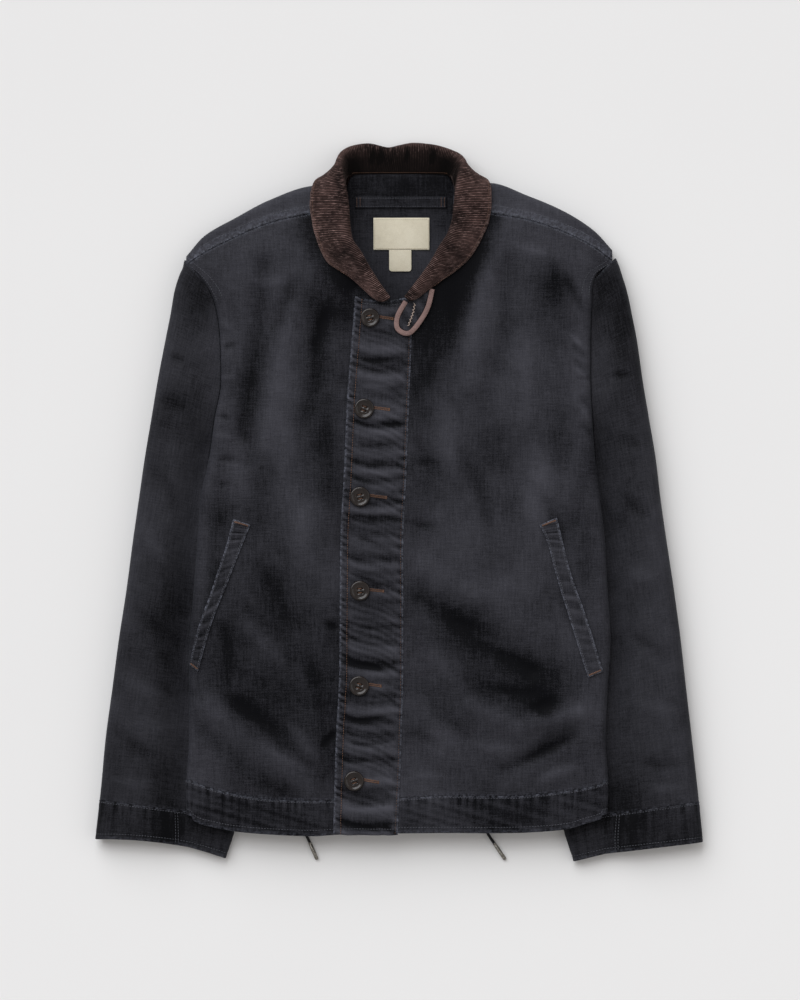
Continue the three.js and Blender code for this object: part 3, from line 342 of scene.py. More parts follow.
def through(rows, column):
    """A smooth curve through rows of a table that keeps within its values; the first column is the place."""
    rows = sorted(rows, key=lambda row: row[0])
    place = np.array([row[0] for row in rows], float)
    value = np.array([row[column] for row in rows], float)
    step = np.diff(value) / np.diff(place)
    before = np.concatenate([step[:1], step])
    after = np.concatenate([step, step[-1:]])
    agree = before * after > 0
    slope = np.where(agree, 2 * before * after / np.where(agree, before + after, 1), 0)

    def curve(at):
        at = np.clip(at, place[0], place[-1])
        i = np.clip(np.searchsorted(place, at, side="right") - 1, 0, len(place) - 2)
        width = place[i + 1] - place[i]
        t = (at - place[i]) / width
        rest = 1 - t
        return (
            value[i] * rest * rest * (1 + 2 * t)
            + slope[i] * width * t * rest * rest
            + value[i + 1] * t * t * (3 - 2 * t)
            - slope[i + 1] * width * t * t * rest
        )

    return curve


def pair(rows, right, left):
    return {"right": through(rows, right), "left": through(rows, left)}


sleeve_edge = pair(EDGES, 1, 2)
fold_edge = pair(EDGES, 3, 4)
middle_height = through(HEIGHTS, 1)
edge_height = through(HEIGHTS, 2)
seam_y = pair(SHOULDER, 1, 2)
seam_z = through(SHOULDER, 3)
turn_y = pair(SHOULDER, 4, 5)
hem_seam = pair(HEM, 1, 2)
hem_bottom = pair(HEM, 3, 4)
placket_edge = through(PLACKET, 1)
placket_seam = through(PLACKET, 2)
neck_start = pair(FRONT_START, 1, 2)
strip_edge = through(SLEEVE, 1)
sleeve_height = through(SLEEVE, 2)
fold_radius_above = through(FOLD_RADIUS, 1)
neck_edge = through(NECK_EDGE, 1)
PLACKET_TOP = PLACKET[0][0]
front_start = {
    "right": lambda y: neck_start["right"](y) + SEAM_GAP,
    "left": lambda y: np.where(y > PLACKET_TOP, neck_start["left"](y), placket_seam(y)) + SEAM_GAP,
}


def sided(curves, x, at):
    """The value of the curve for the side that each x lies on."""
    return np.where(np.asarray(x) < 0, curves["right"](at), curves["left"](at))


def spline(points, count):
    """Evenly spaced points on a smooth curve through the given ones."""
    points = np.array(points, float)
    ends = np.vstack([2 * points[0] - points[1], points, 2 * points[-1] - points[-2]])
    parts = []
    for k in range(len(points) - 1):
        a, b, c, d = ends[k : k + 4]
        t = np.linspace(0, 1, 24, endpoint=k == len(points) - 2)[:, None]
        parts.append(
            0.5 * (2 * b + (c - a) * t + (2 * a - 5 * b + 4 * c - d) * t**2 + (3 * b - a - 3 * c + d) * t**3)
        )
    return even(np.vstack(parts), count)


def even(points, count):
    """The same line with its points at equal steps."""
    length = run_along(points)
    at = np.linspace(0, length[-1], count)
    return np.stack([np.interp(at, length, points[:, k]) for k in range(points.shape[1])], axis=1)


def run_along(points, axis=0):
    """The distance of each point of a line or grid from the first, along one axis."""
    run = np.cumsum(np.linalg.norm(np.diff(points, axis=axis), axis=-1), axis=axis)
    return np.concatenate([np.zeros_like(run.take([0], axis)), run], axis=axis)


def unit(v):
    return v / np.maximum(np.linalg.norm(v, axis=-1, keepdims=True), 1e-12)


def bell(distance, reach):
    return np.exp(-((distance / reach) ** 2))


def waves(seed, count, low, high):
    """A smooth uneven wave along a length, from about -1 to 1, with periods from low to high."""
    draw = np.random.default_rng(seed)
    period = draw.uniform(low, high, count)
    start = draw.uniform(0, 2 * np.pi, count)

    def wave(at):
        at = np.asarray(at, float)[..., None]
        return np.sin(2 * np.pi * at / period + start).sum(-1) / np.sqrt(count / 2) / 1.6

    return wave


def along_folds(x, y, rows):
    """The sum of soft troughs and ridges, each along three points."""
    total = np.zeros(np.broadcast(x, y).shape)
    for x1, y1, x2, y2, x3, y3, width, height in rows:
        near = np.minimum(to_segment(x, y, x1, y1, x2, y2)[0], to_segment(x, y, x2, y2, x3, y3)[0])
        total = total + height * bell(near, width)
    return total


def to_segment(x, y, x1, y1, x2, y2):
    """The distance of points from a segment, and the share of it where each is nearest."""
    dx, dy = x2 - x1, y2 - y1
    t = np.clip(((x - x1) * dx + (y - y1) * dy) / (dx * dx + dy * dy), 0, 1)
    return np.hypot(x - x1 - t * dx, y - y1 - t * dy), t


FAR_AWAY = 1e9
CREASE_PARTS = 8
CREASE_REACH = 3


def creases(x, y, rows):
    """The sum of creases: each follows a bent line, is deepest part way along and fades to both ends."""
    total = np.zeros(np.broadcast(x, y).shape)
    t = np.linspace(0, 1, CREASE_PARTS + 1)[:, None]
    for *points, width, height in rows:
        first, bend, last = np.reshape(points, (3, 2))
        line = (1 - t) ** 2 * first + 2 * t * (1 - t) * bend + t**2 * last
        low, high = line.min(axis=0) - CREASE_REACH * width, line.max(axis=0) + CREASE_REACH * width
        inside = (x > low[0]) & (x < high[0]) & (y > low[1]) & (y < high[1])
        if not inside.any():
            continue
        best, share = np.full(inside.sum(), FAR_AWAY), np.zeros(inside.sum())
        for k in range(CREASE_PARTS):
            away, along = to_segment(x[inside], y[inside], *line[k], *line[k + 1])
            share = np.where(away < best, (k + along) / CREASE_PARTS, share)
            best = np.minimum(away, best)
        fade = np.sin(np.pi * np.clip(share, 0.02, 0.98)) ** 0.8
        total[inside] += height * fade * bell(best, width * (0.55 + 0.45 * fade))
    return total


BODY_CREASES = [
    # x1, y1, x2, y2, x3, y3, width, height
    (-185, 161, -178, 163, -170, 165, 3, -1.2),
    (-191, 88, -184, 90, -176, 86, 3, -1.4),
    (-193, 44, -180, 47, -165, 40, 4, -1.3),
    (-84, -259, -74, -250, -63, -238, 5, -1.5),
    (-80, -128, -72, -130, -62, -133, 5, -1.3),
    (-196, -190, -160, -225, -110, -250, 9, -1.3),
    (-120, -225, -100, -255, -78, -285, 8, 1.1),
    (-170, -120, -140, -145, -120, -180, 10, 1),
    (-150, -60, -128, -92, -118, -130, 12, -0.9),
    (-110, 20, -100, -30, -106, -80, 14, 1),
    (-72, 120, -78, 60, -72, 0, 10, -0.8),
    (-176, 60, -158, 20, -150, -20, 12, 0.9),
    (-198, -40, -190, -90, -200, -140, 7, -0.8),
    (120, 272, 135, 262, 165, 258, 5, 1.1),
    (172, 244, 183, 220, 194, 197, 6, -1.3),
    (182, 165, 190, 158, 200, 149, 4, -1.2),
    (186, 131, 194, 129, 199, 127, 3, -1.2),
    (160, 264, 166, 225, 168, 200, 9, -1.1),
    (64, 260, 60, 200, 50, 140, 9, -0.9),
    (150, -205, 156, -217, 150, -228, 12, -1.6),
    (118, -278, 150, -263, 182, -246, 6, -1.3),
    (142, -300, 166, -280, 194, -280, 6, 1.2),
    (40, 120, 60, 60, 54, 0, 12, 1),
    (100, 90, 120, 30, 118, -30, 15, -1),
    (150, 60, 140, 0, 150, -40, 12, 0.9),
    (22, -150, 50, -170, 70, -210, 9, 1),
    (30, -210, 60, -230, 84, -270, 9, -0.9),
    (12, 40, 30, 44, 46, 38, 5, -0.9),
    (8, -20, 26, -28, 44, -26, 5, -0.9),
    (8, -240, 28, -246, 46, -262, 6, -0.9),
    (10, -290, 30, -286, 52, -292, 5, 0.8),
    (176, 178, 190, 168, 200, 146, 3.2, 1.1),
    (182, 150, 192, 144, 200, 128, 3, -1.1),
    (184, 140, 193, 134, 201, 118, 3, 1),
    (188, 112, 196, 106, 201, 94, 2.8, -1),
    (190, 98, 197, 92, 202, 80, 2.8, 0.9),
    (190, 84, 197, 78, 202, 66, 2.8, -0.9),
    (-188, 190, -180, 182, -172, 180, 3, 0.9),
    (-190, 130, -180, 128, -168, 132, 3.4, 0.9),
    (-194, 70, -184, 66, -170, 68, 3, 0.8),
    (-196, 20, -186, 16, -176, 20, 3.2, -0.9),
    (-156, 236, -140, 226, -118, 232, 6, 0.9),
    (-72, 210, -84, 180, -92, 150, 8, -1.1),
    (-106, 240, -122, 214, -132, 170, 8, -1.2),
    (86, 246, 84, 190, 70, 150, 8, 1.1),
    (130, 180, 136, 120, 130, 70, 10, 1),
    (60, 60, 90, 20, 96, -40, 9, -1),
    (130, 30, 160, 0, 180, -60, 9, -1),
    (-100, -150, -86, -190, -80, -230, 8, -1),
    (-186, -120, -176, -160, -180, -200, 8, -1),
    (-150, -250, -120, -276, -84, -286, 6, 1),
    (60, -130, 90, -146, 130, -160, 6, 1),
    (90, -190, 120, -205, 150, -200, 6, -0.9),
    (60, -250, 90, -262, 130, -262, 6, 0.8),
    (166, -90, 178, -110, 190, -150, 7, -0.9),
]
BODY_CREASE_SHARE = 1.5
EXTRA_FOLD_SHARE = 0.6
# Shares of the crease heights painted into the cloth's colour: painted shade in troughs, painted highlight on
# ridges
CREASE_SHADE_SHARES = {"creases": 0.5, "folds": 0.2}
COLLAR_SHADE = {"from_station": 8, "depth": 1.1, "reach": 15}
# Patches of painted shade and painted light on the fronts; the darkest, beside the collar, are painted shadow
LIGHT_AND_SHADE_AREAS = [
    # x, y, reach across, reach along, tone: below zero is darker
    (-74, 214, 42, 34, -0.75),
    (58, 222, 38, 40, -0.8),
    (30, 150, 24, 80, -0.7),
    (-88, 120, 14, 60, -0.35),
    (-157, 90, 12, 60, -0.4),
    (-122, 100, 15, 100, 0.55),
    (-196, 120, 12, 90, 0.25),
    (-168, 246, 34, 26, 0.3),
    (128, 130, 44, 90, 0.35),
    (95, 210, 10, 44, 0.35),
    (120, 20, 60, 40, 0.3),
    (60, -120, 60, 26, -0.45),
    (-140, -200, 60, 70, -0.35),
    (-90, -60, 40, 70, 0.2),
    (150, -205, 26, 26, -0.7),
    (110, -290, 70, 16, 0.15),
    (196, -60, 12, 60, -0.3),
    (-190, -20, 10, 60, -0.5),
    (-74, 40, 20, 50, -0.2),
    (-70, 205, 26, 26, -0.3),
    (-150, -150, 80, 150, -0.25),
    (100, -170, 90, 130, -0.25),
    (-165, 190, 18, 40, 0.35),
    (-150, 30, 16, 50, -0.4),
    (-95, -10, 14, 40, 0.35),
    (-110, -130, 34, 30, -0.35),
    (-90, -270, 40, 30, -0.4),
    (-190, -240, 16, 50, 0.25),
    (92, 60, 14, 70, -0.4),
    (165, 60, 14, 60, -0.45),
    (190, 150, 10, 70, 0.45),
    (160, 226, 22, 24, -0.5),
    (60, -30, 26, 40, 0.3),
    (100, -90, 40, 14, 0.4),
    (90, -200, 60, 60, -0.4),
    (50, -240, 20, 30, 0.45),
    (180, -140, 16, 40, 0.35),
    (130, -262, 30, 14, 0.4),
    (-200, 196, 10, 26, -0.35),
    (-40, 128, 40, 14, -0.4),
    (20, 60, 20, 70, -0.3),
    (8, 128, 20, 40, -0.3),
]
# Patches of painted shade and painted light on the sleeves; the darkest, beside the armholes and cuffs, are
# painted shade
SLEEVE_LIGHT_AND_SHADE = [
    (-226, 170, 20, 60, -0.4),
    (-208, 222, 13, 34, -0.7),
    (210, 222, 13, 34, -0.7),
    (-240, -150, 20, 140, -0.45),
    (-285, -60, 20, 160, 0.25),
    (-244, -330, 26, 60, -0.9),
    (232, 190, 12, 60, -0.5),
    (240, -120, 18, 160, -0.35),
    (284, -40, 20, 160, 0.3),
    (238, -340, 30, 50, -0.9),
]
PLACKET_CREASES = [
    (-26, 82, -8, 80, 12, 81, 3, -0.7),
    (-52, -13, -30, -17, 1, -15, 3, -0.8),
    (-50, -35, -36, -38, -21, -45, 3, -0.8),
    (-54, -74, -36, -82, -16, -89, 3.4, -0.9),
    (-52, -171, -30, -172, -10, -180, 3.2, -0.8),
    (-54, -231, -30, -228, 0, -222, 3.2, -0.8),
    (-44, 150, -26, 146, -2, 150, 3.4, -0.7),
    (-46, 122, -24, 118, 4, 124, 3, 0.6),
    (-50, 60, -24, 56, 4, 62, 3.2, -0.7),
    (-52, 34, -30, 30, -4, 26, 3.4, 0.6),
    (-56, -120, -34, -126, -6, -122, 3.2, -0.8),
    (-56, -146, -30, -150, 0, -142, 3, 0.6),
    (-58, -204, -34, -210, -8, -206, 3, 0.6),
    (-60, -252, -34, -258, -4, -250, 3.2, -0.8),
    (-60, -276, -40, -280, -8, -270, 3, 0.6),
    (-64, -318, -40, -322, -6, -316, 3.2, -0.7),
]
SLEEVE_CREASES = [
    (-243, 155, -234, 150, -224, 146, 4, -1.2),
    (-252, 110, -238, 100, -222, 98, 7, -0.9),
    (-262, 40, -244, 20, -232, -10, 8, -0.9),
    (-272, -20, -256, -50, -240, -70, 9, 0.8),
    (-282, -110, -262, -130, -240, -140, 8, -0.9),
    (-296, -180, -276, -196, -240, -210, 8, 0.8),
    (-300, -240, -276, -262, -246, -270, 7, -1),
    (-306, -290, -280, -300, -256, -296, 6, 0.8),
    (222, 131, 234, 134, 246, 133, 4, -1.2),
    (228, 70, 240, 60, 256, 58, 7, -0.9),
    (232, 10, 248, -10, 266, -16, 8, -0.9),
    (238, -70, 256, -84, 276, -80, 8, 0.8),
    (240, -140, 262, -150, 284, -166, 8, -0.9),
    (244, -210, 270, -222, 296, -220, 8, 0.8),
    (250, -268, 276, -280, 302, -276, 7, -1),
    (256, -300, 280, -306, 306, -300, 5, 0.7),
]


# Soft patches of painted light and shade, from a table
def area_light_and_shade(x, y, rows):
    total = np.zeros(np.broadcast(x, y).shape)
    for ax, ay, wide, tall, tone in rows:
        total = total + tone * bell(x - ax, wide) * bell(y - ay, tall)
    return total


def body_light_and_shade(x, y):
    """Painted light and shade on the fronts' cloth: crease ridges painted lighter and troughs darker, patches
    of painted light and shade, and painted shade beside the collar.
    """
    creased = creases(x, y, BODY_CREASES) * CREASE_SHADE_SHARES["creases"]
    folded = along_folds(x, y, FOLDS) * CREASE_SHADE_SHARES["folds"]
    return creased + folded + area_light_and_shade(x, y, LIGHT_AND_SHADE_AREAS) - collar_shade(x, y)


def collar_shade(x, y):
    """Painted shade on the cloth beside the collar's edge, where the collar shadows it."""
    away = np.full(np.broadcast(x, y).shape, FAR_AWAY)
    for table in (COLLAR_RIGHT, COLLAR_LEFT):
        edge = [row[6:8] for row in table[COLLAR_SHADE["from_station"] :]]
        for start, end in zip(edge[:-1], edge[1:]):
            away = np.minimum(away, to_segment(x, y, *start, *end)[0])
    return COLLAR_SHADE["depth"] * bell(away, COLLAR_SHADE["reach"])


def top_height(x, y):
    """The fronts' outer face where it lies flat, as in the CAD, before the placket lowers it."""
    q = np.abs(x)
    out = np.clip(q / sided(fold_edge, x, np.minimum(y, ARMHOLE_TOP_Y)), 0, 1)
    base = lerp(middle_height(y), edge_height(y), out**EDGE_DROP_POWER)
    return lerp(seam_z(q), base, shoulder_rise(x, y)) + along_folds(x, y, FOLDS) * shoulder_rise(x, y)


def shoulder_rise(x, y):
    below = np.maximum(0, sided(seam_y, x, np.abs(x)) - y)
    return 1 - np.exp(-below / SHOULDER_RISE)


def cloth_height(x, y):
    """The same face with its creases."""
    x, y = np.broadcast_arrays(np.asarray(x, float), np.asarray(y, float))
    added = creases(x, y, BODY_CREASES) * BODY_CREASE_SHARE + along_folds(x, y, FOLDS) * EXTRA_FOLD_SHARE
    return top_height(x, y) + added * shoulder_rise(x, y)


def front_height(side, x, y, height=cloth_height):
    """A front's outer face; the placket presses the right one down beside its free edge."""
    under = smooth((x - placket_edge(y) + PLACKET_BLEND) / PLACKET_BLEND) if side == "right" else 0
    fade = smooth((PLACKET_PRESS["top"] - y) / PLACKET_PRESS["blend"])
    return height(x, y) - PLACKET_DROP * under * fade


def fold_radius(side, y):
    top = top_height(SIGN[side] * fold_edge[side](y), y)
    return lerp((top - BODY_LEVEL) / 2, fold_radius_above(y), smooth((y - UNDERARM_Y) / UNDERARM_BLEND))


def tuck_line(side, y):
    """The line under the body where a front ends and the back starts."""
    at = np.minimum(y, UNDERARM_Y)
    return fold_edge[side](at) - fold_radius(side, at) - TUCK_LENGTH


def back_height(side, q, y):
    """The back's lower face: on the floor, raised over the sleeves, and between them at the neck."""
    at = np.minimum(y, UNDERARM_Y)
    over = smooth((q - strip_edge(at) + BACK_RISE["strip_side"] + LEVEL_RAMP) / LEVEL_RAMP)
    up = 1 - smooth((y - UNDERARM_Y) / BACK_RISE["above"])
    tuck = tuck_line(side, y)
    fold = fold_edge[side](y)
    away = np.where(y > UNDERARM_Y + 0.01, 1 - smooth((q - tuck) / (fold - tuck)), 1)
    beside_neck = 1 - smooth((q - BACK_RISE["neck_q"]) / BACK_RISE["neck_fade"])
    neck = smooth((y - BACK_RISE["neck_y"]) / BACK_RISE["neck_blend"]) * beside_neck
    return BODY_LEVEL * over * up * away + NECK_LEVEL * neck


def settle(value, start):
    """The y that agrees with a line whose own y depends on it."""
    y = start
    for _ in range(SETTLING_STEPS):
        y = lerp(y, value(y), 0.5)
    return y


def body_column(side, kind, at, y_of):
    """One column of points of a body piece, for every row at once."""
    sign = SIGN[side]
    if kind == "top":
        q_of = lambda y: lerp(front_start[side](y), fold_edge[side](y) - fold_radius(side, y), at)
        y = settle(lambda y: y_of(q_of(y)), y_of(100.0))
        x = sign * q_of(y)
        return np.stack([x, y, front_height(side, x, y)], axis=-1)
    y = settle(lambda y: y_of(fold_edge[side](y)), y_of(200.0))
    radius = fold_radius(side, y)
    turn_q = fold_edge[side](y) - radius
    if kind == "arc":
        top = front_height(side, sign * turn_q, y)
        low = front_height(side, sign * turn_q, y, top_height) - 2 * radius
        turn = np.radians(at)
        height = lerp(low, top, (1 + np.cos(turn)) / 2)
        return np.stack([sign * (turn_q + radius * np.sin(turn)), y, height], axis=-1)
    tuck = lerp(turn_q, tuck_line(side, y) + SIDE_SEAM_GAP, at)
    return np.stack([sign * tuck, y, np.full(y.shape, float(BODY_LEVEL))], axis=-1)


# Meshes
def grid_normals(grid, closed=False, active=None):
    """Unit normals at the grid's points, from the cells that are there."""
    right = np.roll(grid, -1, axis=1) if closed else grid[:, 1:]
    left = grid if closed else grid[:, :-1]
    a, b, c, d = left[:-1], right[:-1], right[1:], left[1:]
    cell = np.cross(c - a, d - b)
    if active is not None:
        cell = cell * active[..., None]
    total = np.zeros_like(grid)
    if closed:
        for part in (cell, np.roll(cell, 1, axis=1)):
            total[:-1] += part
            total[1:] += part
    else:
        total[:-1, :-1] += cell
        total[:-1, 1:] += cell
        total[1:, 1:] += cell
        total[1:, :-1] += cell
    return unit(total)


GRIDS = {}


def shell(
    name, grid, wall, outward, closed=False, active=None, bulge=0.22,
    wear=None, grain=None, normals=None, tone=None,
):
    """A closed wall: outer points, the same moved inwards, and a rounded rim along every open edge."""
    rows, columns = grid.shape[:2]
    cell_columns = columns if closed else columns - 1
    if active is None:
        active = np.ones((rows - 1, cell_columns), bool)
    if normals is None:
        normals = grid_normals(grid, closed, active)
    j, i = np.nonzero(active)
    nxt = (i + 1) % columns
    a, b, c, d = j * columns + i, j * columns + nxt, (j + 1) * columns + nxt, (j + 1) * columns + i
    outer = grid.reshape(-1, 3)
    flat = normals.reshape(-1, 3)
    inner = outer - outward * wall * flat
    count = len(outer)
    faces = [np.stack([a, b, c, d], 1), np.stack([d, c, b, a], 1) + count]
    start = np.concatenate([a, b, c, d])
    end = np.concatenate([b, c, d, a])
    total = rows * columns + 1
    lone = ~np.isin(start * total + end, end * total + start)
    m, n = start[lone], end[lone]
    along = outer[n] - outer[m]
    out = unit(np.cross(along, flat[m] + flat[n]))
    push = np.zeros((count, 3))
    np.add.at(push, m, out)
    np.add.at(push, n, out)
    rim = np.unique(np.concatenate([m, n]))
    middle = (outer[rim] + inner[rim]) / 2 + unit(push[rim]) * bulge
    place = np.zeros(count, int)
    place[rim] = np.arange(len(rim)) + 2 * count
    faces.append(np.stack([n, m, place[m], place[n]], 1))
    faces.append(np.stack([place[n], place[m], m + count, n + count], 1))
    points = np.concatenate([outer, inner, middle])
    points[:, 2] = np.maximum(points[:, 2], 0)
    faces = np.concatenate(faces)
    GRIDS[name] = (grid, normals * outward)
    tone = np.zeros(count) if tone is None else tone.ravel()
    wear = np.zeros(count) if wear is None else wear.ravel()
    grain = (grid[..., :2] if grain is None else grain).reshape(-1, 2)
    values = {
        "wear": np.concatenate([wear, wear * 0, wear[rim]]),
        "tone": np.concatenate([tone, tone, tone[rim]]),
        "grain": np.concatenate([grain, grain, grain[rim]]),
    }
    return mesh_object(name, points, faces, values)


def mesh_object(name, points, faces, values):
    """An object from points in millimetres and faces of any one size, with its faces outwards."""
    faces = np.asarray(faces)
    used, index = np.unique(faces, return_inverse=True)
    faces = index.reshape(faces.shape)
    points = np.asarray(points, float)[used]
    a, b, c = points[faces[:, 0]], points[faces[:, 1]], points[faces[:, 2]]
    volume = np.einsum("ij,ij->i", a, np.cross(b, c)).sum()
    if faces.shape[1] == 4:
        volume += np.einsum("ij,ij->i", a, np.cross(c, points[faces[:, 3]])).sum()
    if volume < 0:
        faces = faces[:, ::-1]
    mesh = bpy.data.meshes.new(name)
    mesh.from_pydata((points * MM).tolist(), [], faces.tolist())
    for key, value in values.items():
        value = value[used]
        if value.ndim == 1:
            attribute = mesh.attributes.new(key, "FLOAT", "POINT")
            attribute.data.foreach_set("value", value.astype(np.float32))
        else:
            spread = np.zeros((len(value), 3), np.float32)
            spread[:, : value.shape[1]] = value * MM
            attribute = mesh.attributes.new(key, "FLOAT_VECTOR", "POINT")
            attribute.data.foreach_set("vector", spread.ravel())
    return shown(name, mesh)


def shown(name, mesh):
    mesh.shade_smooth()
    mesh.update()
    thing = bpy.data.objects.new(name, mesh)
    bpy.context.scene.collection.objects.link(thing)
    return thing


def refined(values, step):
    """The same rising or falling values with more between them, no further apart than step."""
    out = [values[0]]
    for a, b in zip(values[:-1], values[1:]):
        cells = max(1, int(np.ceil(abs(b - a) / step)))
        out.extend(np.linspace(a, b, cells + 1)[1:])
    return np.array(out)


def across(grid, start):
    """Cloth coordinates of a grid: the distance along each row from its start, and the point's own y."""
    return np.stack([run_along(grid, 1) + np.asarray(start)[:, None], grid[..., 1]], axis=-1)


# Body panels
FRONT_ROWS = {"above": 105, "below": 150}
FRONT_COLUMNS = 88
SHOULDER_TIP = {"q": 200, "gap": 2.4}
ARC_ANGLES = np.linspace(0, 180, 15)[1:]
OPEN_ARC = 90
TUCK_SHARES = np.linspace(0, 1, 9)[1:]


def front_panel(side):
    tip = lambda q: smooth((q - SHOULDER_TIP["q"]) / (SHOULDER_END_Q - SHOULDER_TIP["q"]))
    top = lambda q: seam_y[side](q) - SEAM_GAP * (1 + SHOULDER_TIP["gap"] * tip(q))
    bottom = hem_seam[side]
    arm_q = fold_edge[side](UNDERARM_Y)
    arm_share = (top(arm_q) - UNDERARM_Y) / (top(arm_q) - bottom(arm_q))
    above, below = FRONT_ROWS["above"], FRONT_ROWS["below"]
    share = np.concatenate([np.linspace(0, arm_share, above + 1), np.linspace(arm_share, 1, below + 1)[1:]])
    tops = np.linspace(0, 1, FRONT_COLUMNS)
    columns = [("top", at, 0) for at in tops]
    columns += [("arc", at, at > OPEN_ARC) for at in ARC_ANGLES]
    columns += [("tuck", at, 1) for at in TUCK_SHARES]
    open_columns = len(tops) - 1 + int((ARC_ANGLES <= OPEN_ARC).sum())
    grid = []
    for kind, at, under in columns:
        shift = np.where((np.arange(len(share)) == above) & bool(under), -ARMHOLE_GAP, 0)
        grid.append(body_column(side, kind, at, lambda q: lerp(top(q), bottom(q), share) + shift))
    grid = np.stack(grid, axis=1)
    rows, cols = np.indices((len(share) - 1, len(columns) - 1))
    active = (cols < open_columns) | (rows >= above)
    wear = edge_wear(grid, [(0, 2), (-1, 1.6)], []) * 0.6
    return shell(
        "front_shell_" + side, grid, SHELL_WALL, -SIGN[side], active=active, wear=wear,
        grain=across(grid, np.abs(grid[:, 0, 0])), tone=body_light_and_shade(grid[..., 0], grid[..., 1]),
    )


def edge_wear(grid, rows, columns):
    """Fading near the given rows and columns of a grid, over a distance."""
    wear = np.zeros(grid.shape[:2])
    lines = [(grid[j][None], reach) for j, reach in rows]
    lines += [(grid[:, i][:, None], reach) for i, reach in columns]
    for line, reach in lines:
        wear = np.maximum(wear, bell(np.linalg.norm(grid - line, axis=-1), reach))
    return wear


BACK_COLUMNS = [
    0, 16, 32, 43, 50, 54, HPS_Q, 80, 102, 124, 140, TUCK_COLUMN_Q, 173, 190, 205, 215, SHOULDER_END_Q
]
BACK_CELL = 3.6
BACK_ROWS = {"below": 90, "above": 80, "turn": 16, "seam": 12}
TURN_DEPTH = {"at_neck": 4, "at_end": 8, "blend": 40}
TURN_BELOW_SEAM = 1.5
YOKE_ABOVE_SEAM = 0.3
PLACING_STEPS = 8
BACK_CREASES = [
    (-60, 250, -30, 262, 10, 256, 7, -0.5),
    (-120, 60, -60, 30, -10, 34, 14, -0.7),
    (20, 120, 60, 90, 110, 96, 14, -0.7),
    (-90, -120, -40, -150, 20, -140, 14, -0.7),
    (40, -60, 80, -100, 90, -160, 12, -0.6),
    (-80, -230, -20, -250, 60, -236, 12, -0.7),
]
SEAM_RIDGE = {"width": 8.5, "height": 0.5, "wear": 0.35, "slope": 1.6}
# Painted shade on the back's inner face in the neck opening
NECK_SHADE_TONES = {"under_collar": -0.75, "collar_y": 321, "lower": -0.45, "rise": 0.6, "yoke": 0.35}


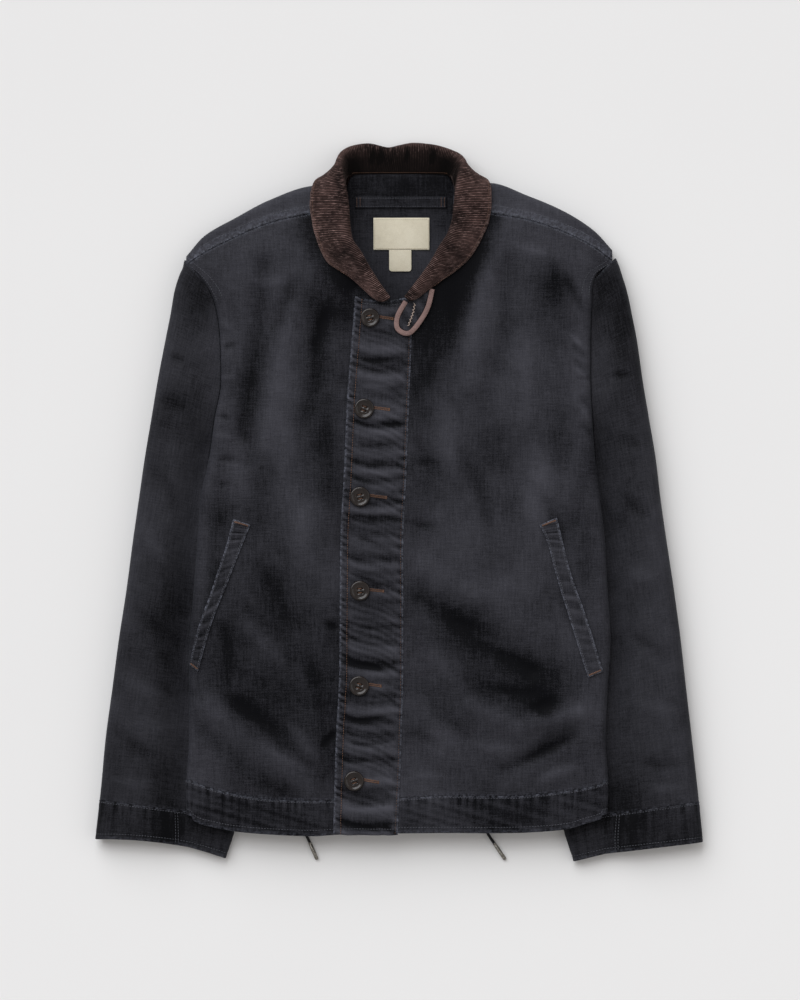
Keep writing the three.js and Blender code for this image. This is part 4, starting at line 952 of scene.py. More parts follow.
def back_panel():
    half = refined(BACK_COLUMNS, BACK_CELL)
    columns = [("right", q) for q in half[:0:-1]] + [("left", q) for q in half]
    depth = lambda q: lerp(
        TURN_DEPTH["at_neck"], TURN_DEPTH["at_end"], smooth((q - HPS_Q) / TURN_DEPTH["blend"])
    )
    flat_top = lambda side, q: neck_edge(q) if q < HPS_Q else turn_y[side](q) - depth(q)

    def place(side, q, y):
        tuck = tuck_line(side, y)
        if q <= TUCK_COLUMN_Q:
            return q / TUCK_COLUMN_Q * tuck
        edge = np.minimum(fold_edge[side](y), SHOULDER_END_Q)
        return lerp(tuck, edge, (q - TUCK_COLUMN_Q) / (SHOULDER_END_Q - TUCK_COLUMN_Q))

    def flat_column(side, q, y_of):
        at = np.full(y_of(q).shape, float(q))
        y = y_of(at)
        for _ in range(PLACING_STEPS):
            at = place(side, q, y)
            y = y_of(at)
        return np.stack([SIGN[side] * at, y, back_height(side, at, y)], axis=-1)

    low_share = np.linspace(0, 1, BACK_ROWS["below"] + 1)
    high_share = np.linspace(0, 1, BACK_ROWS["above"] + 1)[1:]
    angles = np.radians(np.linspace(-90, 90, BACK_ROWS["turn"] + 1)[1:])
    seam_share = np.linspace(0, 1, BACK_ROWS["seam"] + 1)[1:]
    grid = []
    for side, q in columns:
        low = flat_column(side, q, lambda at: lerp(hem_seam[side](at), UNDERARM_Y + 0.1, low_share))
        high = flat_column(side, q, lambda at: lerp(UNDERARM_Y, flat_top(side, q), high_share))
        base = back_height(side, q, flat_top(side, q))
        top = seam_z(q) - TURN_BELOW_SEAM
        turned_y = turn_y[side](q) - depth(q) * (1 - np.cos(angles))
        turned_z = lerp(base, top, (1 + np.sin(angles)) / 2)
        turned = np.stack([np.full(angles.shape, SIGN[side] * q), turned_y, turned_z], axis=-1)
        end = np.array([SIGN[side] * q, seam_y[side](q), seam_z(q) + YOKE_ABOVE_SEAM])
        yoke = lerp(turned[-1], end, seam_share[:, None])
        grid.append(np.concatenate([low, high, turned, yoke]))
    grid = np.stack(grid, axis=1)
    below, flat_rows = BACK_ROWS["below"], BACK_ROWS["below"] + BACK_ROWS["above"]
    column_q = np.array([q for _, q in columns])
    low_q = np.minimum(column_q[:-1], column_q[1:])
    active = np.ones((len(grid) - 1, len(low_q)), bool)
    active[:below] = low_q < TUCK_COLUMN_Q
    active[flat_rows:] = low_q >= HPS_Q
    flat = grid[: flat_rows + 1]
    flat[..., 2] -= creases(flat[..., 0], flat[..., 1], BACK_CREASES)
    reach = run_along(grid[::-1])[::-1]
    ridge = smooth((SEAM_RIDGE["width"] + 1 - reach) / SEAM_RIDGE["slope"]) * (column_q >= HPS_Q)
    grid[..., 2] += SEAM_RIDGE["height"] * ridge
    # The pale band along the shoulder seam's ridge is partly wear and partly a painted highlight on the ridge
    wear = edge_wear(grid, [(-1, 2)], []) * 0.6 + SEAM_RIDGE["wear"] * (reach < SEAM_RIDGE["width"])
    x, y = grid[..., 0], grid[..., 1]
    # Painted shade on the back's inner face: darkest under the collar, fading away from it lower in the neck
    # opening, and lighter on the yoke beside it
    inside = NECK_SHADE_TONES["lower"] + NECK_SHADE_TONES["rise"] * smooth((318 - y) / 55)
    tone = np.where(y > NECK_SHADE_TONES["collar_y"], NECK_SHADE_TONES["under_collar"], inside)
    tone = np.where((np.abs(x) > 62) & (y > 240), NECK_SHADE_TONES["yoke"], tone)
    return shell("back_shell", grid, SHELL_WALL, -1, active=active, wear=wear, tone=tone)


HEM_ROWS = 18
HEM_COLUMNS = {"front": 84, "back": 60, "tuck": 4}
HEM_DEPTH = 36
BACK_HEM_SHORTER = 3
hem_pucker = waves(11, 9, 7, 19)
hem_rope = waves(12, 7, 4.5, 8)


def hem_grid(row_shares):
    half = [("top", at, 0) for at in np.linspace(0, 1, HEM_COLUMNS["front"])]
    half += [("arc", at, at / 180) for at in ARC_ANGLES]
    half += [("tuck", at, 1) for at in TUCK_SHARES[: HEM_COLUMNS["tuck"]]]
    half += [("back", at, 1) for at in np.linspace(1, 0, HEM_COLUMNS["back"])]
    columns = [("right", *c) for c in half] + [("left", *c) for c in half[-2::-1]]
    grid = []
    for side, kind, at, back in columns:
        seam = lambda q: hem_seam[side](q) - SEAM_GAP
        bottom = lambda q: hem_bottom[side](q) + BACK_HEM_SHORTER * back
        if kind != "back":
            grid.append(body_column(side, kind, at, lambda q: lerp(seam(q), bottom(q), row_shares)))
            continue
        fold = fold_edge[side](seam(SHOULDER_END_Q))
        q = at * tuck_line(side, lerp(seam(fold), bottom(fold), row_shares))
        y = lerp(seam(q), bottom(q), row_shares)
        grid.append(np.stack([SIGN[side] * q, y, back_height(side, q, y)], axis=-1))
    return np.stack(grid, axis=1)


EVEN_GATHERS = 0.16
STITCH_DIP = {"depth": 0.35, "reach": 1.2}


def gathers(pucker, run, depth, height, reach):
    """Puckers of a gathered band, which fade away from its seam."""
    return pucker(run)[None] * (height * bell(depth, reach) + EVEN_GATHERS)


def stitch_dips(depth, *places):
    return -STITCH_DIP["depth"] * sum(bell(depth - place, STITCH_DIP["reach"]) for place in places)


def hem_band():
    share = np.linspace(0, 1, HEM_ROWS + 1)
    grid = hem_grid(share)
    depth = share[:, None] * HEM_DEPTH
    run = run_along(grid[0])
    puckers = gathers(hem_pucker, run, depth, 0.5, 9)
    puckers = puckers + 0.25 * hem_rope(run)[None] * bell(depth - 0.92 * HEM_DEPTH, 5)
    dips = stitch_dips(depth, 0.1 * HEM_DEPTH, 0.84 * HEM_DEPTH)
    grid = grid + grid_normals(grid) * (puckers + dips)[..., None]
    wear = edge_wear(grid, [(0, 1.4), (-1, 2)], []) * 0.6
    # Painted highlight on the puckers' ridges and painted shade in their hollows, with the band darker
    # overall
    tone = puckers * 0.55 - 0.38 + 0.25 * hem_pucker(grid[..., 0] * 0.3 + grid[..., 1])
    return shell("hem_band_shell", grid, BAND_WALL, 1, wear=wear, bulge=0.5, tone=tone)


PLACKET_ROWS = 300
PLACKET_COLUMNS = 42
PLACKET_STEP = 0.6
rope = waves(5, 7, 5, 9)
seam_rope = waves(6, 8, 6, 15)
placket_waves = waves(7, 9, 14, 37)
fine_waves = waves(8, 11, 5, 12)
EDGE_STITCH_IN = 7.3
SEAM_STITCH_IN = 2.2
PLACKET_CREASE_SHARE = 1.3
CALM_UNDER_BUTTON = 0.75


def placket_point(u, v):
    top_line = 213.9 - 4.4 * np.sin(np.pi * u * 0.9) + 1.6 * u
    y = lerp(top_line, -349.4, v)
    x = lerp(placket_edge(y), placket_seam(y), u)
    return x, y


def placket_lift(x, y):
    """Puckers of the placket: ropes at its edge, short cross folds between the two stitch lines."""
    edge = x - placket_edge(y)
    seam = placket_seam(y) - x
    middle = smooth(edge / 12) * smooth(seam / 10)
    lift = 0.8 * rope(y + 0.5 * edge) * bell(edge - 3, 4.4)
    lift = lift + 0.7 * seam_rope(y - 0.3 * seam) * bell(seam - 2, 8)
    lift = lift + 0.9 * placket_waves(y + 0.18 * edge + 3 * np.sin(edge / 13)) * middle
    lift = lift + 0.3 * fine_waves(y + 0.45 * edge + 2 * np.sin(edge / 9)) * middle
    lift = lift - 0.5 * bell(edge - EDGE_STITCH_IN, 1.3) - 0.45 * bell(seam - SEAM_STITCH_IN, 1.2)
    lift = lift + creases(x, y, PLACKET_CREASES) * PLACKET_CREASE_SHARE
    for bx, by, radius in BUTTONS:
        calm = np.exp(-((np.hypot(x - bx, y - by) / (radius + 2)) ** 4))
        lift = lift * (1 - CALM_UNDER_BUTTON * calm)
    return lift


def placket_height(x, y):
    return cloth_height(x, y) + PLACKET_LIFT + placket_lift(x, y)


def placket():
    u, v = np.meshgrid(np.linspace(0, 1, PLACKET_COLUMNS + 1), np.linspace(0, 1, PLACKET_ROWS + 1))
    x, y = placket_point(u, v)
    lift = placket_lift(x, y)
    grid = np.stack([x, y, cloth_height(x, y) + PLACKET_LIFT + lift], axis=-1)
    wear = edge_wear(grid, [(0, 1.6)], [(0, 1.5), (-1, 1.2)]) * 0.8
    # Painted highlight on the raised puckers and painted shade in their troughs, patches of painted light and
    # shade, and painted shade beside the collar
    tone = 0.1 + lift * 0.85 + area_light_and_shade(x, y, LIGHT_AND_SHADE_AREAS) * 0.5 - collar_shade(x, y) * 0.6
    return shell("placket_shell", grid, PLACKET_WALL, -1, wear=wear, bulge=0.7, tone=tone)


def on_surface(height, x, y, step, lift=0.0):
    """Points and normals of a surface given by its height, lifted along the normal."""
    x, y = np.broadcast_arrays(np.asarray(x, float), np.asarray(y, float))
    dx = (height(x + step, y) - height(x - step, y)) / (2 * step)
    dy = (height(x, y + step) - height(x, y - step)) / (2 * step)
    normal = unit(np.stack([-dx, -dy, np.ones(x.shape)], axis=-1))
    return np.stack([x, y, height(x, y)], axis=-1) + normal * lift, normal


# Sleeves and cuffs
OUTER_ANGLES = np.linspace(0, 90, 11)
TOP_SHARES = np.linspace(0, 1, 48)[1:]
STRIP_SHARES = np.linspace(0, 1, 14)[1:-1]
INNER_ANGLES = np.linspace(90, -90, 11)
BOTTOM_SHARES = np.linspace(1, 0, 34)[:-1]
SECTION = (
    [("outer", a) for a in OUTER_ANGLES]
    + [("top", s) for s in TOP_SHARES]
    + [("strip_top", s) for s in STRIP_SHARES]
    + [("inner", a) for a in INNER_ANGLES]
    + [("strip_bottom", s) for s in STRIP_SHARES[::-1]]
    + [("bottom", s) for s in BOTTOM_SHARES]
    + [("outer", a) for a in np.linspace(-90, 0, 11)[:-1]]
)
FIRST_HIDDEN = len(OUTER_ANGLES) + len(TOP_SHARES) - 1
LAST_HIDDEN = FIRST_HIDDEN + 2 * len(STRIP_SHARES) + len(INNER_ANGLES) + 1
SLEEVE_ROWS = {"above": 90, "below": 150}
SLEEVE_CREASE_SHARE = 1.5
FULLY_HIDDEN_BELOW = 0.14
TOP_COLUMN = 20


def sleeve_rows(side, outer_y, inner_y, hidden):
    """The ends of rows across a sleeve: outer edge, body fold and hidden inner edge."""
    fold_y = lerp(inner_y, lerp(outer_y, inner_y, 0.6), hidden)
    fold_q = fold_edge[side](fold_y) + ARMHOLE_SHOWN_GAP
    inner_q = strip_edge(np.minimum(inner_y, STRIP_TOP_Y))
    seam = top_height(SIGN[side] * fold_q, fold_y) - fold_radius(side, fold_y) + 1.2
    fold_z = lerp(seam, STRIP_HEIGHT, smooth((110 - fold_y) / 62))
    return {
        "outer": np.stack([sleeve_edge[side](outer_y), outer_y], -1),
        "fold": np.stack([fold_q, fold_y], -1),
        "inner": np.stack([inner_q, inner_y], -1),
        "height": sleeve_height(outer_y),
        "fold_z": fold_z,
    }


def section_column(side, row, part, share, bow=0.0):
    outer, fold, inner, height, fold_z = (row[k] for k in ("outer", "fold", "inner", "height", "fold_z"))
    width = np.linalg.norm(fold - outer, axis=-1)
    ahead = (fold - outer) / width[:, None]
    round_in = np.minimum(SLEEVE_OUTER_ROUND, width * SLEEVE_ROUND_SHARE)
    height_at = lambda far: lerp(fold_z, np.maximum(height, fold_z), smooth((width - far) / SLEEVE_SLOPE))
    spread = inner - fold
    strip_end = 1 - SLEEVE_INNER_ROUND / np.linalg.norm(spread, axis=-1)
    angle = np.radians(share)
    if part == "outer":
        point = outer + ahead * (round_in * (1 - np.cos(angle)))[:, None]
        z = height_at(round_in) / 2 * (1 + np.sin(angle))
    elif part == "top":
        far = lerp(round_in, width, share)
        point = outer + ahead * far[:, None]
        z = height_at(far)
    elif part == "bottom":
        point = outer + ahead * lerp(round_in, width, share)[:, None]
        z = np.zeros(len(width))
    elif part in ("strip_top", "strip_bottom"):
        point = fold + spread * (share * strip_end)[:, None]
        z = fold_z if part == "strip_top" else np.zeros(len(width))
    else:
        point = fold + spread * (strip_end + (1 - strip_end) * np.cos(angle))[:, None]
        z = fold_z / 2 * (1 + np.sin(angle))
    inwards = np.clip((outer[:, 0] - point[:, 0]) / (outer[:, 0] - inner[:, 0]), 0, 1)
    y = point[:, 1] + bow * 4 * inwards * (1 - inwards)
    return np.stack([SIGN[side] * point[:, 0], y, z], axis=-1)


def sleeve_grid(side, share, hidden, ends, bow=None):
    (outer_0, inner_0), (outer_1, inner_1) = ends
    row = sleeve_rows(side, lerp(outer_0, outer_1, share), lerp(inner_0, inner_1, share), hidden)
    bow = np.zeros(len(share)) if bow is None else bow
    grid = np.stack([section_column(side, row, part, at, bow) for part, at in SECTION], axis=1)
    tops = grid[:, : FIRST_HIDDEN + 1]
    clear = smooth((tops[..., 2] - 6) / 10)
    tops[..., 2] += SLEEVE_CREASE_SHARE * creases(tops[..., 0], tops[..., 1], SLEEVE_CREASES) * clear
    return grid


def around(grid):
    """Cloth coordinates of a sleeve: round it from the outer edge, and down it."""
    run = run_along(grid, 1)
    down = run_along(grid[:, TOP_COLUMN])
    return np.stack([run, np.broadcast_to(-down[:, None], run.shape)], axis=-1)


SLEEVE_TIP = {"q": 228, "y": 251, "reach": 24, "inwards": 3.6, "up": 1.5}


def meet_shoulder(side, grid):
    """Draws the sleeve's upper corner in under the end of the shoulder."""
    away = np.hypot(grid[..., 0] - SIGN[side] * SLEEVE_TIP["q"], grid[..., 1] - SLEEVE_TIP["y"])
    share = bell(away, SLEEVE_TIP["reach"])
    grid[..., 0] -= SIGN[side] * SLEEVE_TIP["inwards"] * share
    grid[..., 1] += SLEEVE_TIP["up"] * share


def sleeve(side):
    ends = SLEEVE_ENDS[side]
    top, seam = ends["top"], ends["seam"]
    strip_share = (top[1] - STRIP_TOP_Y) / (top[1] - seam[1])
    above, below = SLEEVE_ROWS["above"], SLEEVE_ROWS["below"]
    share = np.concatenate(
        [np.linspace(0, strip_share, above + 1), np.linspace(strip_share, 1, below + 1)[1:]]
    )
    hidden = smooth((share - strip_share + FULLY_HIDDEN_BELOW) / FULLY_HIDDEN_BELOW)
    grid = sleeve_grid(side, share, hidden, (top, seam))
    meet_shoulder(side, grid)
    rows, cols = np.indices((len(share) - 1, len(SECTION)))
    active = (rows >= above) | (cols < FIRST_HIDDEN) | (cols >= LAST_HIDDEN)
    wear = edge_wear(grid, [(0, 2), (-1, 1.4)], []) * 0.5
    return shell(
        "sleeve_shell_" + side, grid, SHELL_WALL, SIGN[side], closed=True, active=active,
        wear=wear, grain=around(grid), tone=sleeve_light_and_shade(grid),
    )


# Painted shade in the sleeves' crease troughs, painted highlight on their ridges, and patches of painted
# light and shade
def sleeve_light_and_shade(grid):
    x, y = grid[..., 0], grid[..., 1]
    return creases(x, y, SLEEVE_CREASES) * CREASE_SHADE_SHARES["creases"] + area_light_and_shade(x, y, SLEEVE_LIGHT_AND_SHADE)


CUFF_ROWS = 22
CUFF_DEPTH = 41
cuff_pucker = waves(21, 8, 7, 17)


def cuff(side):
    ends = SLEEVE_ENDS[side]
    share = np.linspace(0, 1, CUFF_ROWS + 1)
    start = tuple(v - SEAM_GAP for v in ends["seam"])
    grid = sleeve_grid(side, share, np.ones(len(share)), (start, ends["edge"]), ends["bow"] * share)
    depth = share[:, None] * CUFF_DEPTH
    lift = gathers(cuff_pucker, run_along(grid[0]), depth, 0.45, 8) + stitch_dips(depth, 36, 2)
    normals = grid_normals(grid, True) * SIGN[side]
    off_floor = smooth(grid[..., 2] / 3)
    grid = grid + normals * (lift * off_floor)[..., None]
    wear = edge_wear(grid, [(0, 1.4), (-1, 2)], []) * 0.6
    # The cuff's colour: painted highlight on its puckers and painted shade in their hollows, painted darker
    # overall, with the sleeves' painted light and shade
    return shell(
        "cuff_shell_" + side, grid, BAND_WALL, SIGN[side], closed=True, wear=wear,
        grain=around(grid), bulge=0.5, tone=lift * 0.8 - 0.35 + sleeve_light_and_shade(grid),
    )


# Collar: stand from the neck seam, a roll, then the fall, with raised ribs
COLLAR_COLUMNS = 560
STAND_SHARES = np.linspace(0, 1, 7)[:-1]
ROLL_SHARES = np.linspace(0, 1, 10)
FALL_SHARES = np.linspace(0, 1, 18)[1:]
CAD_STATIONS = 18


def station_curves(table):
    """Curves through the stations of half a collar; a height that is None is the fronts' and a seat."""
    filled = []
    for k, station in enumerate(table):
        values = list(station)
        for column, seat in ((2, NECK_SEAM_SEAT), (5, ROLL_SEAT), (8, COLLAR_SEAT)):
            if values[column] is None:
                values[column] = float(top_height(*np.array(values[column - 2 : column], float))) + seat
        filled.append((k, *values))
    curves = [through(filled, column) for column in range(1, 12)]
    return lambda share: np.stack([c(np.clip(share, 0, 1) * (len(table) - 1)) for c in curves], axis=-1)


def hermite(a, b, ta, tb, t):
    rest = 1 - t
    return a * rest * rest * (1 + 2 * t) + ta * t * rest * rest + b * t * t * (3 - 2 * t) - tb * t * t * rest


def collar_half(table):
    """Sections of half the collar from the centre back to its front end, evenly spaced along the roll."""
    curves = station_curves(table)
    fine = np.linspace(0, 1, 1500)
    line = curves(fine)[:, 3:6]
    run = run_along(line)
    share = np.interp(np.linspace(0, run[-1], COLLAR_COLUMNS + 1), run, fine)
    station = curves(share)
    neck, centre, edge = station[:, 0:3], station[:, 3:6], station[:, 6:9]
    lean, turn = np.radians(station[:, 9:10]), np.radians(station[:, 10:11])
    ahead = unit(curves(share + 1 / CAD_STATIONS)[:, 3:5] - curves(share - 1 / CAD_STATIONS)[:, 3:5])
    inwards = np.stack([ahead[:, 1], -ahead[:, 0], np.zeros(len(ahead))], axis=-1)
    to_middle = np.stack([-centre[:, 0], NECK_CENTRE_Y - centre[:, 1], np.zeros(len(ahead))], axis=-1)
    flip = np.einsum("ij,ij->i", inwards, to_middle) < 0
    inwards = np.where(flip[:, None], -inwards, inwards)
    up = np.array([0.0, 0.0, 1.0])
    face = up * np.cos(lean) + inwards * np.sin(lean)
    crest = -inwards * np.cos(lean) + up * np.sin(lean)
    on_roll = lambda angle: centre + (face * np.cos(angle) + crest * np.sin(angle)) * ROLL_RADIUS
    start, end = on_roll(0 * turn), on_roll(turn)
    points = []
    rise = np.linalg.norm(start - neck, axis=-1, keepdims=True)
    for t in STAND_SHARES:
        points.append(hermite(neck, start, start - neck, crest * rise, t))
    for t in ROLL_SHARES:
        points.append(on_roll(turn * t))
    leave = face * np.cos(turn + np.pi / 2) + crest * np.sin(turn + np.pi / 2)
    span = np.linalg.norm(edge - end, axis=-1, keepdims=True)
    for t in FALL_SHARES:
        point = hermite(end, edge, leave * span * 0.8, edge - end, t)
        x, y, z = point[:, 0], point[:, 1], point[:, 2]
        over = (y < sided(turn_y, x, np.abs(x)) - 6) & (z > 20)
        lowest = cloth_height(x, y) + COLLAR_SEAT
        point[:, 2] = np.where(over, np.maximum(z, lowest), z)
        points.append(point)
    return np.stack(points, axis=0), run[-1]


COLLAR_CREASES = [
    # x1, y1, x2, y2, x3, y3, width, height
    (-20, 378, -16, 368, -22, 356, 4, -1),
    (-74, 262, -66, 258, -58, 246, 4, -0.9),
    (-86, 300, -72, 292, -62, 286, 5, -0.6),
    (58, 262, 68, 256, 78, 246, 4, -0.8),
    (40, 244, 48, 240, 58, 244, 4, -0.7),
    (64, 330, 74, 322, 88, 326, 5, 0.6),
    (-28, 376, -26, 366, -30, 356, 3, -0.8),
    (8, 378, 10, 368, 6, 358, 3, -0.8),
    (34, 376, 38, 366, 32, 356, 3.4, -0.7),
]
# Patches of painted shade and painted light on the collar
COLLAR_LIGHT_AND_SHADE = [
    (-48, 300, 8, 40, -0.7),
    (-56, 262, 12, 12, -0.5),
    (-84, 330, 9, 24, 0.25),
    (-20, 226, 10, 10, 0.2),
    (50, 300, 8, 40, -0.7),
    (64, 258, 14, 12, -0.5),
    (88, 326, 9, 24, 0.25),
    (30, 222, 12, 10, -0.4),
    (0, 366, 60, 4, 0.25),
]


def collar():
    right, right_length = collar_half(COLLAR_RIGHT)
    left, left_length = collar_half(COLLAR_LEFT)
    grid = np.concatenate([right[:, :0:-1], left], axis=1)
    at = np.linspace(0, 1, COLLAR_COLUMNS + 1)
    run = np.concatenate([-right_length * at[:0:-1], left_length * at])
    grid[..., 2] += creases(grid[..., 0], grid[..., 1], COLLAR_CREASES) * smooth((grid[..., 2] - 12) / 6)
    normals = grid_normals(grid)
    ribs = np.abs(np.cos(np.pi * run / WALE_PITCH)) ** 0.7
    grid[1:-1] += normals[1:-1] * (WALE_HEIGHT * (ribs - 0.6))[:, None]
    down = run_along(grid)
    grain = np.stack([np.broadcast_to(run, down.shape), down], axis=-1)
    wear = edge_wear(grid, [(-1, 1.8)], []) * 0.45
    # Painted shade on the stand under the roll, painted shade and highlight on the collar's creases, and
    # patches of painted light and shade
    row = np.arange(len(grid))[:, None]
    stand_shade = 1 - smooth((row - len(STAND_SHARES) + 2) / 5)
    x, y = grid[..., 0], grid[..., 1]
    tone = -1.25 * stand_shade + 0.6 * creases(x, y, COLLAR_CREASES) + area_light_and_shade(x, y, COLLAR_LIGHT_AND_SHADE)
    return shell(
        "collar_shell", grid, COLLAR_WALL, 1, wear=wear, grain=grain, normals=normals, bulge=1.0, tone=tone
    )


# What lies on the fronts
def folded_height(x, y):
    """The fronts' outer face with its folded edge."""
    right = x < 0
    radius = np.where(right, fold_radius("right", y), fold_radius("left", y))
    past = np.clip((np.abs(x) - sided(fold_edge, x, y) + radius) / radius, 0, 0.98)
    top = np.where(right, front_height("right", x, y), front_height("left", x, y))
    return top - radius * (1 - np.sqrt(1 - past * past))


def facing(grid):
    a, b, c = grid[0, 0], grid[0, 1], grid[1, 0]
    return 1 if np.cross(b - a, c - a)[2] > 0 else -1


welt_pucker = waves(31, 8, 6, 16)


def welt_grid(rows, share, steps):
    table = [(k, *row) for k, row in enumerate(rows)]
    x0, y0, x1, y1 = (through(table, c)(share * (len(rows) - 1))[:, None] for c in (1, 2, 3, 4))
    return lerp(x0, x1, steps[None]), lerp(y0, y1, steps[None])


def pocket_welt(name):
    rows = WELTS[name]
    share = np.linspace(0, 1, 90)
    steps = np.linspace(0, 1, 12)
    x, y = welt_grid(rows, share, steps)
    grid, normal = on_surface(folded_height, x, y, 0.5, WELT_SEAT + WELT_WALL)
    run = share[:, None] * 165
    lift = 0.42 * welt_pucker(run + 4 * steps[None]) * np.sin(np.pi * np.clip(steps[None], 0.03, 0.97)) ** 0.5
    grid = grid + normal * lift[..., None]
    wear = edge_wear(grid, [(0, 1.2), (-1, 1.2)], [(0, 1.5), (-1, 0.8)])
    # Painted highlight on the welt's puckers and painted shade in their hollows, with patches of painted
    # light and shade
    tone = lift * 0.9 + area_light_and_shade(x, y, LIGHT_AND_SHADE_AREAS)
    return shell(name + "_shell", grid, WELT_WALL, facing(grid), wear=wear, bulge=0.5, tone=tone)


TAB_ROWS = 30
TAB_LEAF_INSET = 0.02


def tab_path(count):
    """The outer and inner edge of the tab's binding."""
    outer = spline(TAB_OUTLINE, count)
    along = unit(np.vstack([outer[1:], outer[-1:]]) - np.vstack([outer[:1], outer[:-1]]))
    inner = outer + np.stack([-along[:, 1], along[:, 0]], axis=-1) * TAB["binding"]
    return outer, inner


def lifted(points, lift):
    x, y = points[..., 0], points[..., 1]
    return np.stack([x, y, top_height(x, y) + lift], axis=-1)


def tab_binding():
    outer, inner = tab_path(81)
    u = np.linspace(0, 1, 9)[:, None, None]
    flat = lerp(outer[None], inner[None], u)
    crown = 0.5 * np.sin(np.pi * u[..., 0])
    grid = lifted(flat, TAB["binding_seat"] + crown - 0.3)
    run = np.arange(81) * 1.3
    grain = np.stack(np.broadcast_arrays(run[None], u[..., 0] * TAB["binding"]), axis=-1)
    return shell("tab_binding_shell", grid, TAB["binding_wall"], 1, bulge=0.6, grain=grain)


def tab_leaf():
    _, inner = tab_path(2 * TAB_ROWS + 1)
    rows = []
    for a, b in zip(inner[:TAB_ROWS], inner[:TAB_ROWS:-1]):
        gap = SEAM_GAP / np.linalg.norm(a - b)
        u = np.linspace(gap, 1 - gap, 14)[:, None]
        rows.append(lerp(lerp(a, b, u), inner[TAB_ROWS], TAB_LEAF_INSET))
    flat = np.array(rows)
    ripple = 0.25 * np.sin(flat[..., 0] / 2.4 + flat[..., 1] / 3.7)
    grid = lifted(flat, TAB["seat"] + ripple)
    # The leaf's ripples are painted lighter on their crests and darker in their hollows, as painted highlight
    # and shade
    return shell("throat_tab_shell", grid, TAB["wall"], -1, tone=ripple * 1.2 + 0.1)


label_waves = waves(41, 6, 14, 50)
# Painted shade on the hanger loop inside the neck opening
LOOP_SHADE = -0.4
LABEL_GRID = {"hanger_loop": (64, 20), "neck_label": (64, 20), "size_tag": (30, 30)}
TAG_CORNER = {"height": 3, "inwards": 2.6}


def lying_inside(name):
    """A strip or label on the back's inner face; the size tag has rounded lower corners."""
    piece = LABELS[name]
    nx, ny = LABEL_GRID[name]
    x, y = np.meshgrid(np.linspace(*piece["x"], nx), np.linspace(*piece["y"][::-1], ny))
    if name == "size_tag":
        middle, half = np.mean(piece["x"]), np.ptp(piece["x"]) / 2
        down = np.clip((y - piece["y"][0]) / TAG_CORNER["height"], 0, 1)
        x = middle + (x - middle) * (1 - (1 - np.sqrt(1 - (1 - down) ** 2)) * TAG_CORNER["inwards"] / half)
    q = np.abs(x)
    floor = np.where(x < 0, back_height("right", q, y), back_height("left", q, y)) + SHELL_WALL
    bow = 0.35 * (1 + label_waves(x + 0.6 * y))
    grid = np.stack([x, y, floor + piece["lift"] + piece["wall"] + bow], axis=-1)
    return shell(name + "_shell", grid, piece["wall"], -1, bulge=0.2, tone=np.full(x.shape, LOOP_SHADE))


# Buttons: turned, with a raised rim, a dished middle and four holes
BUTTON_PROFILE = [
    # share of the radius, height
    (0.8, 0),
    (0.9, 0.2),
    (0.97, 0.8),
    (1, 1.6),
    (0.985, 2.4),
    (0.94, 3.1),
    (0.88, 3.4),
    (0.81, 3.4),
    (0.75, 3.1),
    (0.7, 2.6),
    (0.64, 2.35),
    (0.56, 2.3),
    (0.46, 2.4),
]
BUTTON_FACE = 2.45
HOLE_RADIUS = 1.05
HOLE_OFF = 2.2
HOLE_SIDES = 14
BUTTON_SIDES = 64
BUTTON_SEAT = 0.6
BUTTON_REACH = 8


def turned_points(rings, sides):
    angle = np.linspace(0, 2 * np.pi, sides, endpoint=False)
    return np.array([[(r * np.cos(a), r * np.sin(a), z) for a in angle] for r, z in rings])


def turned_faces(ring_count, sides):
    """The faces between rings of points, each ring with the same number of sides."""
    rings = np.arange(ring_count * sides).reshape(ring_count, sides)
    after = np.roll(rings, -1, axis=1)
    return np.stack([rings[:-1], after[:-1], after[1:], rings[1:]], axis=-1).reshape(-1, 4).tolist()


def placed(points, seat, normal):
    """Points made round the Z axis, set on a surface."""
    turn = Vector((0, 0, 1)).rotation_difference(Vector(normal)).to_matrix()
    return np.asarray(points) @ np.array(turn).T + np.asarray(seat)


def button_mesh(radius):
    rings = [(share * radius, z) for share, z in BUTTON_PROFILE]
    body = bmesh.new()
    points = turned_points(rings, BUTTON_SIDES).reshape(-1, 3)
    verts = [body.verts.new(p) for p in points]
    for face in turned_faces(len(rings), BUTTON_SIDES):
        body.faces.new([verts[k] for k in face])
    top = verts[-BUTTON_SIDES:]
    bottom = verts[:BUTTON_SIDES]
    loops = {"top": [], "bottom": []}
    for sx, sy in ((1, 1), (-1, 1), (-1, -1), (1, -1)):
        for key, z in (("top", BUTTON_FACE), ("bottom", 0)):
            hole = turned_points([(HOLE_RADIUS, z)], HOLE_SIDES)[0] + (sx * HOLE_OFF, sy * HOLE_OFF, 0)
            loops[key].append([body.verts.new(spot) for spot in hole])
    for upper, lower in zip(loops["top"], loops["bottom"]):
        for k in range(HOLE_SIDES):
            n = (k + 1) % HOLE_SIDES
            body.faces.new([upper[n], upper[k], lower[k], lower[n]])
    for border, rings_here in ((top, loops["top"]), (bottom, loops["bottom"])):
        edges = []
        for loop in [border, *rings_here]:
            for k in range(len(loop)):
                a, b = loop[k], loop[(k + 1) % len(loop)]
                edges.append(body.edges.get((a, b)) or body.edges.new((a, b)))
        bmesh.ops.triangle_fill(body, use_beauty=True, use_dissolve=False, edges=edges)
    bmesh.ops.recalc_face_normals(body, faces=body.faces)
    mesh = bpy.data.meshes.new("button")
    body.to_mesh(mesh)
    body.free()
    return mesh


